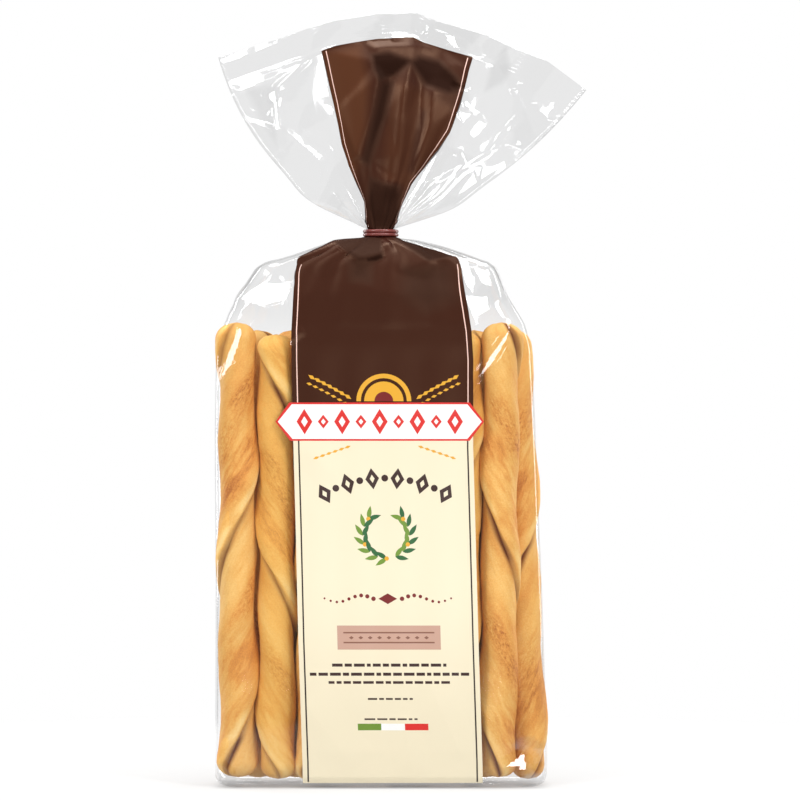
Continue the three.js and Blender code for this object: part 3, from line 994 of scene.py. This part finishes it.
def backDesign():
    # plain panel with bars and a strip where the film is joined
    band = bandForm
    shapes = bandFields((
        ("rule", band["borderWidth"], band["foot"] + 2, band["boundary"] - 1),
        ("paleRule", band["borderWidth"], band["boundary"] + 1, band["top"] - 1)))
    shapes.append(("paleRule", block(-0.25, band["foot"] + 1, 0.25, band["top"] - 1)))
    dice = np.random.default_rng(9)
    for column in (-1, 1):
        for row in range(16):
            u, stop = sorted((column * 7, column * 37))
            shapes += barLine(dice, u, stop - dice.uniform(0, 9), 158 - 4.2 * row, 1.2, 6)
    shapes.append(("tan", block(8, 30, 37, 82)))
    for row in range(9):
        shapes.append(("tanRule", block(10, 34 + 5.3 * row, 35, 34.5 + 5.3 * row)))
    shapes.append(("white", block(-37, 30, -8, 60)))
    u = -35.0
    while u < -10.8:
        wide = dice.choice([0.5, 0.9, 1.3])
        shapes.append(("inkBrown", block(u, 33, u + wide, 57)))
        u += wide + dice.choice([0.6, 1.0])
    return shapes


inkLook = {"Specular IOR Level": 0.45, "Roughness": 0.38}

# painted shade and painted sheen of the brown ink's folds: its colour where painted dark and where
# painted light, and its dullness
paintedFoldLook = dict(dark=(0.3, 0.12, 0.12), light=(2.3, 3.3, 2.4), dull=0.6, gleam=(1, 0.62, 0.4, 1))


def paintedFoldShading(write, colour):
    # painted shade: the ink is darker and duller where the shade is above 0, and a painted highlight
    # makes it lighter below it
    shade = write.attribute("shade")
    dark = write.calc("MAXIMUM", shade, 0)
    light = write.calc("MULTIPLY", shade, -1, clamp=True)
    front = colour
    for share, change in ((dark, paintedFoldLook["dark"]), (light, paintedFoldLook["light"])):
        changed = tuple(c * k for c, k in zip(colour, change)) + (1,)
        front = write.blend(front, changed, share)
    return front, write.calc("MULTIPLY_ADD", dark, paintedFoldLook["dull"], inkLook["Roughness"])


def inkMaterial(name, colour):
    # ink on film: glossy outside, paler where its back shows through the clear film
    material, write, shader = newMaterial(name, inkLook)
    front = colour
    if name == "ink_brown":  # this ink gleams warm and shows its folds
        shader.inputs["Specular Tint"].default_value = paintedFoldLook["gleam"]
        # painted shade and painted highlight of the folds, read from the shade attribute
        front, dull = paintedFoldShading(write, colour)
        write.put(shader.inputs["Roughness"], dull)
    rear = tuple(0.55 * c + 0.25 for c in colour[:3]) + (1,)
    fromBehind = write.add("ShaderNodeNewGeometry").outputs["Backfacing"]
    write.put(shader.inputs["Base Color"], write.blend(front, rear, fromBehind))
    return material


inks = dict(
    cream=paint(225, 214, 186), brown=paint(50, 19, 11), rule=paint(34, 16, 13),
    paleRule=paint(236, 196, 182), red=paint(206, 36, 30), white=paint(232, 232, 230),
    gold=paint(216, 158, 38), darkRed=paint(112, 18, 17), inkBrown=paint(54, 30, 25),
    leafGreen=paint(104, 136, 44), leafDark=paint(34, 92, 46), tan=paint(188, 150, 132),
    tanRule=paint(128, 84, 68),
)
inkMaterials = {name: inkMaterial("ink_" + name, colour) for name, colour in inks.items()}


def printedSheet(name, shapes, side):
    # one flat triangulation of all the shapes, wrapped on the film
    band = bandForm
    points, loops = [], []
    for ink, outline in shapes:
        dense = densify(outline, band["boundaryStep"])
        loops.append(list(range(len(points), len(points) + len(dense))))
        points += dense
    half, step = band["half"], band["gridStep"]
    taken = np.array(points)
    rows = np.concatenate([np.arange(band["foot"] + step / 2, band["closeFrom"], step),
                           np.arange(band["closeFrom"], band["closeTo"], band["closeStep"]),
                           np.arange(band["closeTo"], band["top"], step)])
    gridU, gridQ = np.meshgrid(np.arange(-half + step / 2, half, step), rows)
    inner = np.stack([gridU.ravel(), gridQ.ravel()], axis=-1)
    cell = band["gridClear"] * 2
    crowded = {(round(u / cell), round(q / cell)) for u, q in taken}
    inner = [p for p in inner.tolist() if (round(p[0] / cell), round(p[1] / cell)) not in crowded]
    result = geometry.delaunay_2d_cdt([Vector(p) for p in points + inner], [], loops, 1, 1e-4, True)
    flat = np.array([tuple(v) for v in result[0]])
    faces, sources = result[2], result[5]
    names = sorted({ink for ink, outline in shapes})
    kept = [k for k, source in enumerate(sources) if source]
    faces = [faces[k] for k in kept]
    faceInks = [names.index(shapes[max(sources[k])][0]) for k in kept]
    across, level = bandAcross(flat[:, 0], flat[:, 1])[None, :], flat[None, :, 1]
    normals = sheetNormal(filmPlace, across, side, level, 0.5)
    place = filmPlace(across, side, level) + normals * band["proud"]
    corners = place.reshape(3, -1).T
    if side > 0:
        faces = [tuple(reversed(face)) for face in faces]
    return pieceFrom(name, corners, faces, [inkMaterials[n] for n in names], faceInks,
                     normals.reshape(3, -1).T)


def markPaintedShading(piece):
    # painted shade and painted highlight: how dark or light each corner of the print is, from below
    # 0 to 1
    corners = np.array([tuple(vertex.co) for vertex in piece.data.vertices]) / mm
    x, z = corners[:, 0], corners[:, 2]
    darker, lighter = np.zeros_like(x), np.zeros_like(x)
    for strength, soft, outline in paintedFoldShades:
        share = strength * insideShare(x, z, outline, soft)
        darker, lighter = np.maximum(darker, share), np.minimum(lighter, share)
    shade = darker + lighter * (1 - darker)
    piece.data.attributes.new("shade", "FLOAT", "POINT").data.foreach_set("value", shade)


frontPrint = printedSheet("front_print", frontDesign(), -1)
markPaintedShading(frontPrint)
backPrint = printedSheet("back_print", backDesign(), 1)
for piece in (frontPrint, backPrint):
    settle(piece)
print("print:", len(frontPrint.data.polygons), "and", len(backPrint.data.polygons), "faces")


# Breadsticks: a rolled strip of dough, wound so that one seam runs round each stick

stickForm = dict(
    rings=245, columns=80, length=0.2205, radius=0.0089,
    frontRow=-0.0107, backRow=0.0092, endRound=0.0085,
    low=2.4,  # how high a stick stands where its own entry doesn't say, in millimetres
    pressed=0.0204,  # the film holds the crust back at this depth, front and back
    oval=0.08, ovalLead=0.12,  # the roll is wider one way, which turns with the seam
    seamHeight=0.6, lump=0.13, knobs=0.05, crack=0.018, wander=0.0018, meander=0.09,
)


crustLook = {"Roughness": 0.6, "Specular IOR Level": 0.3}

# colours of the crust from pale to dark, and how far it is baked at each
crustShades = (
    (0.0, paint(245, 212, 148)), (0.24, paint(235, 190, 114)), (0.42, paint(226, 168, 88)),
    (0.62, paint(214, 142, 64)), (0.82, paint(176, 98, 40)), (1.0, paint(134, 70, 28)),
)


def breadMaterial():
    material, write, shader = newMaterial("bakedCrust", crustLook)
    place = write.add("ShaderNodeTexCoord").outputs["Object"]
    marks = {name: write.attribute(name) for name in ("toast", "rough", "seam", "lipHighlight", "tone")}
    dough = write.attribute("dough", "Vector")
    stretched = write.vector("MULTIPLY", dough, (1, 1, 0.3))  # along the rolled strip
    fine = write.noise(place, 1500, 3, 0.65)
    mottle = write.noise(stretched, 420, 3, 0.65)
    patches = write.noise(stretched, 75, 3)
    grit = write.noise(write.vector("MULTIPLY", dough, (1, 1, 0.55)), 1000, 4, 0.7)
    toastEdge = write.remap(write.calc("MULTIPLY_ADD", mottle, 0.6, write.noise(stretched, 130, 3)),
                            -0.2, 0.16, 0.1, 1)
    # how far the crust is baked, from pale to dark
    bake = write.calc("MULTIPLY_ADD", patches, 0.66, 0.38)
    bake = write.calc("MULTIPLY_ADD", mottle, 0.28, bake)
    bake = write.calc("MULTIPLY_ADD", fine, 0.42, bake)
    bake = write.calc("MULTIPLY_ADD", write.calc("MULTIPLY", marks["toast"], toastEdge), 0.36, bake)
    torn = write.calc("MULTIPLY", marks["rough"], write.calc("MULTIPLY_ADD", grit, 1.2, 0.19))
    bake = write.calc("ADD", bake, torn)
    # painted highlight: the crust is paler along the lip's edge
    bake = write.calc("MULTIPLY_ADD", marks["lipHighlight"], -0.26, bake, clamp=True)
    shades = write.add("ShaderNodeValToRGB", {"Fac": bake})
    scale = shades.color_ramp.elements
    scale[0].color, scale[1].color = crustShades[0][1], crustShades[-1][1]
    for where, shade in crustShades[1:-1]:
        scale.new(where).color = shade
    golden = write.calc("MULTIPLY", marks["tone"], 0.5)
    colour = write.blend(shades.outputs["Color"], paint(226, 176, 74), golden)
    # painted shade: the groove along the seam is darker, standing in for its shadow
    colour = write.blend(colour, paint(120, 58, 20), marks["seam"])
    write.put(shader.inputs["Base Color"], colour)
    height = write.calc("MULTIPLY_ADD", mottle, 0.9, write.noise(place, 900, 4, 0.65))
    height = write.calc("ADD", height, write.calc(
        "MULTIPLY", grit, write.calc("MULTIPLY", marks["rough"], 0.9)))
    bump = write.add("ShaderNodeBump", {"Height": height, "Distance": 0.0006, "Strength": 0.55})
    write.put(shader.inputs["Normal"], bump.outputs["Normal"])
    return material


def stickTree(material):
    tree = bpy.data.node_groups.new("rolledBreadstick", "GeometryNodeTree")
    tree.interface.new_socket("Geometry", in_out="OUTPUT", socket_type="NodeSocketGeometry")
    form = stickForm
    inputs = [
        ("Foot", "NodeSocketVector", (0, 0, 0)), ("Head", "NodeSocketVector", (0, 0, 0.22)),
        ("Radius", "NodeSocketFloat", form["radius"]), ("Turns", "NodeSocketFloat", 2.0),
        ("Hand", "NodeSocketFloat", 1.0), ("Phase", "NodeSocketFloat", 0.0),
        ("Seed", "NodeSocketFloat", 0.0), ("Tone", "NodeSocketFloat", 0.0),
    ]
    for name, kind, value in inputs:
        socket = tree.interface.new_socket(name, in_out="INPUT", socket_type=kind)
        socket.default_value = value
    write = NodeWriter(tree)
    given = write.add("NodeGroupInput").outputs
    grid = write.add("GeometryNodeMeshGrid", {
        "Size X": 1.0, "Size Y": 1.0,
        "Vertices X": form["rings"], "Vertices Y": form["columns"] + 1}).outputs["Mesh"]
    gridPlace = write.add("ShaderNodeSeparateXYZ", {
        "Vector": write.add("GeometryNodeInputPosition").outputs[0]}).outputs
    along = write.calc("ADD", gridPlace["X"], 0.5)
    wrapped = write.calc("ADD", gridPlace["Y"], 0.5)  # round the stick from its seam
    length = write.calc("MULTIPLY", along, form["length"])
    shift = write.calc("MULTIPLY", given["Seed"], 0.37)
    onLine = write.join(shift, 0.0, length)

    def lineNoise(scale, *offset):
        # noise along the stick; the offset chooses another part of it
        return write.noise(write.vector("ADD", onLine, offset), scale, 1)

    def zone(start, full, last, end):
        # 1 on a strip of the way round, between full and last, and 0 beyond start and end
        return write.calc("MULTIPLY", write.remap(wrapped, start, full),
                          write.remap(wrapped, end, last))

    def onTube(turn):
        # a place on a plain tube, where noise meets itself at the seam
        return write.join(
            write.calc("MULTIPLY_ADD", write.calc("COSINE", turn), form["radius"], shift),
            write.calc("MULTIPLY", write.calc("SINE", turn), form["radius"]), length)

    wound = write.calc("MULTIPLY_ADD", along, given["Turns"], wrapped)
    wound = write.calc("MULTIPLY_ADD", lineNoise(38, 0.5, 0.1, 0), form["meander"], wound)
    angle = write.calc("MULTIPLY_ADD", write.calc("MULTIPLY", wound, given["Hand"]),
                       2 * math.pi, given["Phase"])
    cosine, sine = write.calc("COSINE", angle), write.calc("SINE", angle)
    solidPlace = onTube(angle)

    # the seam is deep in some places and nearly closed in others
    gape = write.remap(write.noise(onLine, 34, 1), -0.12, 0.16, 0.6, 1.0)
    scroll = write.add("ShaderNodeFloatCurve", {"Value": wrapped})
    curve = scroll.mapping.curves[0]
    for place, value in ((0.03, 0.40), (0.09, 0.57), (0.5, 0.6), (0.8, 0.66), (0.93, 0.86),
                         (0.972, 0.82)):
        curve.points.new(place, value)
    curve.points[0].location = (0, 0.12)
    curve.points[-1].location = (1, 0.12)
    scroll.mapping.update()
    lift = write.calc("MULTIPLY", write.calc("SUBTRACT", scroll.outputs[0], 0.6),
                      form["seamHeight"])
    lift = write.calc("MULTIPLY", lift, gape)
    broad = write.calc("COSINE", write.calc(
        "MULTIPLY_ADD", wrapped, 4 * math.pi, form["ovalLead"] * 4 * math.pi))
    lift = write.calc("MULTIPLY_ADD", broad, form["oval"], lift)
    lumps = write.calc("MULTIPLY", write.noise(solidPlace, 45, 2), form["lump"])
    knobs = write.calc("MULTIPLY", write.noise(solidPlace, 190, 2), form["knobs"])
    # a torn strip lies a third to half of the way round
    tornPatch = write.remap(lineNoise(30, 0, 0.3, 0), -0.1, 0.08, 0.25, 1.0)
    torn = write.calc("MULTIPLY", zone(0.33, 0.40, 0.50, 0.60), tornPatch)
    cracks = write.noise(write.vector("MULTIPLY", solidPlace, (1, 1, 0.6)), 360, 3, 0.7)
    cracked = write.calc("MULTIPLY", write.calc("MULTIPLY", cracks, torn), form["crack"] * 2)
    sunk = write.calc("MULTIPLY", torn, -0.02)
    total = write.calc("ADD", write.calc("ADD", lift, lumps), write.calc("ADD", knobs, sunk))
    total = write.calc("ADD", write.calc("ADD", total, cracked), 1.0)
    fromEnd = write.calc("MINIMUM", along, write.calc("SUBTRACT", 1.0, along))
    fromEnd = write.calc("DIVIDE", write.calc("MULTIPLY", fromEnd, form["length"]),
                         form["endRound"], clamp=True)
    missing = write.calc("POWER", write.calc("SUBTRACT", 1.0, fromEnd), 2.4)
    rounded = write.calc("SQRT", write.calc("SUBTRACT", 1.0, missing, clamp=True))
    radius = write.calc("MULTIPLY", write.calc("MULTIPLY", total, given["Radius"]), rounded)
    middle = write.add("ShaderNodeMix", data_type="VECTOR")
    for socket, value in ((middle.inputs[0], along), (middle.inputs[4], given["Foot"]),
                          (middle.inputs[5], given["Head"])):
        write.put(socket, value)
    wander = write.join(lineNoise(16, 0.9, 0.4, 0), lineNoise(16, 0.2, 0.8, 0), 0.0)
    wander = write.vector("MULTIPLY", wander, (form["wander"], form["wander"], 0))
    around = write.join(write.calc("MULTIPLY", cosine, radius),
                        write.calc("MULTIPLY", sine, radius), 0.0)
    position = write.vector("ADD", write.vector("ADD", middle.outputs[1], wander), around)
    position = write.vector("MAXIMUM", position, (-1, -form["pressed"], 0.0008))
    position = write.vector("MINIMUM", position, (1, form["pressed"], 1))

    toasted = write.calc("MULTIPLY", zone(0.42, 0.66, 0.74, 0.97),
                         write.remap(lineNoise(26, 0, 0, 0.7), -0.14, 0.1, 0.35, 1.0))
    # painted shade in the seam's groove, darkest where the seam gapes
    seamShadeLine = write.calc("ADD", write.remap(wrapped, 0.075, 0.0, 0, 1.0),
                          write.remap(wrapped, 0.975, 1.0, 0, 1.0), clamp=True)
    seamShade = write.calc("MULTIPLY", seamShadeLine, write.remap(gape, 0.6, 0.95, 0.45, 1.0))
    dough = onTube(write.calc("MULTIPLY", wrapped, 2 * math.pi))
    stored = write.add("GeometryNodeStoreNamedAttribute", {
        "Geometry": grid, "Name": "dough", "Value": dough},
        data_type="FLOAT_VECTOR", domain="POINT").outputs[0]
    # painted highlight: a pale broken line along the lip's edge
    lipHighlight = write.calc("MULTIPLY", zone(0.88, 0.94, 0.955, 0.975),
                     write.remap(lineNoise(60, 0.6, 0, 0.2), -0.1, 0.1))
    for name, value in (("toast", toasted), ("rough", torn), ("seam", seamShade), ("lipHighlight", lipHighlight),
                        ("tone", given["Tone"])):
        stored = write.add("GeometryNodeStoreNamedAttribute", {
            "Geometry": stored, "Name": name, "Value": value},
            data_type="FLOAT", domain="POINT").outputs[0]
    shaped = write.add("GeometryNodeSetPosition", {
        "Geometry": stored, "Position": position}).outputs[0]
    turned = write.add("FunctionNodeCompare", {0: given["Hand"], 1: 0.0},
                       data_type="FLOAT", operation="GREATER_THAN").outputs[0]
    flipped = write.add("GeometryNodeFlipFaces", {"Mesh": shaped, "Selection": turned}).outputs[0]
    closed = write.add("GeometryNodeMergeByDistance", {
        "Geometry": flipped, "Distance": 0.00002}).outputs[0]
    smooth = write.add("GeometryNodeSetShadeSmooth", {"Geometry": closed}).outputs[0]
    real = write.add("GeometryNodeRealizeInstances", {"Geometry": smooth}).outputs[0]
    done = write.add("GeometryNodeSetMaterial", {"Geometry": real, "Material": material})
    output = write.add("NodeGroupOutput")
    tree.links.new(done.outputs[0], output.inputs[0])
    return tree


def frozen(name, tree, values):
    # one evaluated copy of a Geometry Nodes tree, as a plain mesh
    holder = bpy.data.objects.new(name + "_holder", bpy.data.meshes.new(name + "_holder"))
    bpy.context.scene.collection.objects.link(holder)
    modifier = holder.modifiers.new("nodes", "NODES")
    modifier.node_group = tree
    sockets = {item.name: item.identifier for item in tree.interface.items_tree
               if item.in_out == "INPUT"}
    for key, value in values.items():
        modifier[sockets[key]] = value
    graph = bpy.context.evaluated_depsgraph_get()
    mesh = bpy.data.meshes.new_from_object(holder.evaluated_get(graph), depsgraph=graph)
    bpy.data.objects.remove(holder)
    piece = bpy.data.objects.new(name, mesh)
    bpy.context.scene.collection.objects.link(piece)
    return piece


# front row from the left: x of the foot and the head in millimetres, the height where the
# seam crosses the middle of the front, the height of one turn of the seam, its hand,
# how golden the crust is, how high the stick stands, and how much higher its head ends
frontSticks = [
    dict(foot=-69.4, head=-70.0, seam=125.9, turn=103, hand=1, tone=0.15, low=4.4, tall=1.4),
    dict(foot=-50.3, head=-51.2, seam=102.0, turn=95, hand=-1, tone=0.7, low=3.6, tall=-3.6),
    dict(foot=-31.8, head=-32.2, seam=118.0, turn=99, hand=1, tone=0.3),
    dict(foot=-13.6, head=-14.0, seam=80.0, turn=101, hand=-1, tone=0.2),
    dict(foot=4.4, head=4.2, seam=140.0, turn=97, hand=1, tone=0.4),
    dict(foot=21.8, head=22.4, seam=95.0, turn=104, hand=-1, tone=0.1),
    dict(foot=38.6, head=40.4, seam=150.0, turn=98, hand=1, tone=0.6, low=3.4, tall=-2),
    dict(foot=57.2, head=59.2, seam=121.5, turn=112, hand=-1, tone=0.15, low=4.4, tall=1.4),
]
backSticks = [
    dict(foot=-60.4, head=-61.0, seam=80, turn=108, hand=-1, tone=0.3),
    dict(foot=-41.6, head=-43.2, seam=130, turn=96, hand=1, tone=0.1),
    dict(foot=-22.8, head=-25.4, seam=60, turn=100, hand=-1, tone=0.6),
    dict(foot=-4.2, head=-7.6, seam=110, turn=104, hand=1, tone=0.2),
    dict(foot=14.6, head=10.2, seam=90, turn=98, hand=-1, tone=0.4),
    dict(foot=33.2, head=28.0, seam=125, turn=95, hand=1, tone=0.5),
    dict(foot=51.9, head=45.6, seam=70, turn=102, hand=-1, tone=0.2),
    dict(foot=72.3, head=65.0, seam=108.8, turn=110, hand=1, tone=0.2, low=2.6,
         footDepth=-0.9, headDepth=8.4),
]


def buildSticks():
    form = stickForm
    crust = breadMaterial()
    tree = stickTree(crust)
    number = 0
    for row, sticks in ((form["frontRow"], frontSticks), (form["backRow"], backSticks)):
        for stick in sticks:
            number += 1
            facing = -math.pi / 2 if row < 0 or "footDepth" in stick else math.pi / 2
            low = stick.get("low", form["low"]) * mm
            turns = form["length"] / (stick["turn"] * mm)
            crossing = (stick["seam"] * mm - low) / form["length"]
            values = {
                "Foot": (stick["foot"] * mm, stick.get("footDepth", row / mm) * mm, low),
                "Head": (stick["head"] * mm, stick.get("headDepth", row / mm) * mm,
                         low + form["length"] + stick.get("tall", 0) * mm),
                "Turns": turns, "Hand": float(stick["hand"]),
                "Phase": facing - stick["hand"] * 2 * math.pi * turns * crossing,
                "Seed": float(number), "Tone": float(stick["tone"]),
                "Radius": form["radius"],
            }
            piece = frozen(f"breadstick_{number:02d}", tree, values)
            settle(piece)
    print("breadsticks:", number)


buildSticks()


# Tie: a coated strand wound twice round the neck, its ends twisted together at the back

tieForm = dict(
    ring=7.9, strand=0.86, middle=270.2, rise=1.74, sides=14, turnSteps=88, unevenness=0.12,
    crossing=1.6,  # how quickly the strand climbs from its first turn to its second
    tailLength=13, tailTwists=2.2, tailSpread=0.95, tailSteps=46,
    tailStart=0.6, tailOut=0.62, tailSag=0.7, tailLean=1.5,  # how the ends stand off and droop
)
tieLook = {"Base Color": paint(118, 52, 46), "Roughness": 0.34, "Coat Weight": 0.4,
           "Coat Roughness": 0.15}


def tiePath():
    # one tail, two turns round the neck, the other tail
    form = tieForm
    turn = np.linspace(0, 4 * math.pi, 2 * form["turnSteps"] + 1)
    level = form["middle"] + form["rise"] / 2 * np.tanh((turn - 2 * math.pi) * form["crossing"])
    ring = form["ring"] + form["unevenness"] * np.sin(3 * turn + 1)
    angle = math.pi / 2 + turn
    wraps = np.stack([ring * np.cos(angle), ring * np.sin(angle), level], axis=-1)
    share = np.linspace(0, 1, form["tailSteps"] + 1)[1:]
    spread = form["tailSpread"] * (1 - 0.2 * share)
    out = form["ring"] + form["tailStart"] + share * form["tailLength"] * form["tailOut"]
    sag = -form["tailLength"] * form["tailSag"] * share ** 1.4
    tails = []
    for offset in (0, math.pi):
        spin = offset + share * form["tailTwists"] * 2 * math.pi
        tails.append(np.stack([spread * np.cos(spin) + form["tailLean"] * share, out,
                               form["middle"] + spread * np.sin(spin) + sag], axis=-1))
    path = np.concatenate([tails[0][::-1], wraps, tails[1]])
    for _ in range(2):  # eases the corners where the tails leave
        path[1:-1] = 0.25 * path[:-2] + 0.5 * path[1:-1] + 0.25 * path[2:]
    return path


def tubeAlong(path, radius, sides):
    # closed round tube with domed ends, on a frame carried along the path
    along = np.gradient(path, axis=0)
    along /= np.linalg.norm(along, axis=1)[:, None]
    side = np.cross(along[0], (0, 0, 1))
    turns = 2 * math.pi * np.arange(sides) / sides
    rings = []
    for centre, ahead in zip(path, along):
        side = side - ahead * side.dot(ahead)
        side /= np.linalg.norm(side)
        other = np.cross(ahead, side)
        rings.append(centre + radius * (np.outer(np.cos(turns), side)
                                        + np.outer(np.sin(turns), other)))
    corners = np.concatenate(rings + [path[:1], path[-1:]])
    faces = []
    for k in range(len(path) - 1):
        for j in range(sides):
            a, b = k * sides + j, k * sides + (j + 1) % sides
            faces.append((a, b, b + sides, a + sides))
    start, end = len(corners) - 2, len(corners) - 1
    last = (len(path) - 1) * sides
    for j in range(sides):
        following = (j + 1) % sides
        faces.append((start, following, j))
        faces.append((end, last + j, last + following))
    return corners, faces


corners, faces = tubeAlong(tiePath(), tieForm["strand"], tieForm["sides"])
neckTie = pieceFrom("neck_tie_strand", corners, faces, [newMaterial("tieCoating", tieLook)[0]])
settle(neckTie, "neck_tie")
print("tie wound")


# Floor, light and camera

studio = dict(
    floorReach=0.46, floorFade=0.3, floorGlow=0.5, floorDrop=0.0002, floorSides=64,
    # painted shadow: the floor's glow is lower close to the pack's footprint
    footprint=(0.073, 0.015, 0.01), contactShadowReach=0.012, contactShadowGlow=0.33,  # under the pack
    # how bright the surroundings are to the camera, in reflections and as light
    backdrop=1.0, mirrored=0.3, fill=0.57,
)


floorLook = {"Base Color": (0.31, 0.31, 0.31, 1), "Roughness": 0.8, "Specular IOR Level": 0,
             "Emission Color": (1, 1, 1, 1)}


def buildFloor():
    # pale disc that thins out into the white surroundings, with a painted shadow that makes it
    # darker close to the pack
    form = studio
    material, write, shader = newMaterial("paleFloor", floorLook)
    place = write.add("ShaderNodeTexCoord").outputs["Object"]
    distance = write.vector("LENGTH", place, output="Value")
    write.put(shader.inputs["Alpha"],
              write.remap(distance, form["floorReach"] * 0.98, form["floorFade"]))
    # painted shadow: less glow near the pack's footprint
    beyond = write.vector("SUBTRACT", write.vector("ABSOLUTE", place), form["footprint"])
    gap = write.vector("LENGTH", write.vector("MAXIMUM", beyond, (0, 0, 0)), output="Value")
    glowWithContactShadow = write.remap(gap, 0.0, form["contactShadowReach"], form["contactShadowGlow"], form["floorGlow"])
    write.put(shader.inputs["Emission Strength"], glowWithContactShadow)
    rim = disc(0, 0, form["floorReach"] / mm, form["floorSides"])
    floor = pieceFrom("floor", [(x, y, 0) for x, y in rim], [range(len(rim))], [material])
    floor.location.z = -form["floorDrop"]


def buildSurroundings():
    form = studio
    world = bpy.data.worlds.new("paleStudio")
    world.use_nodes = True
    write = NodeWriter(world.node_tree)
    background = world.node_tree.nodes["Background"]
    rays = write.add("ShaderNodeLightPath").outputs
    strength = write.remap(rays["Is Glossy Ray"], 0.0, 1.0, form["fill"], form["mirrored"])
    strength = write.remap(rays["Is Camera Ray"], 0.0, 1.0, strength, form["backdrop"])
    background.inputs["Color"].default_value = (1, 1, 1, 1)
    write.put(background.inputs["Strength"], strength)
    bpy.context.scene.world = world


def buildLights():
    for name, (azimuth, elevation, distance, width, height, power) in softboxes.items():
        light = bpy.data.lights.new(name, "AREA")
        light.shape = "RECTANGLE"
        light.size, light.size_y, light.energy = width, height, power
        lamp = bpy.data.objects.new(name, light)
        away = awayFrom(azimuth, elevation)
        lamp.location = lightTarget + away * distance
        lamp.rotation_euler = away.to_track_quat("Z", "Y").to_euler()
        bpy.context.scene.collection.objects.link(lamp)


def buildCamera():
    camera = bpy.data.cameras.new("photographView")
    camera.lens, camera.sensor_width = view["lens"], view["sensor"]
    viewer = bpy.data.objects.new("photographView", camera)
    viewer.location = view["place"]
    viewer.rotation_euler = (math.pi / 2, 0, 0)
    bpy.context.scene.collection.objects.link(viewer)
    bpy.context.scene.camera = viewer


buildFloor()
buildSurroundings()
buildLights()
buildCamera()
bpy.context.scene.view_settings.view_transform = "Standard"
bpy.context.scene.cycles.transparent_max_bounces = 24
print("studio ready")
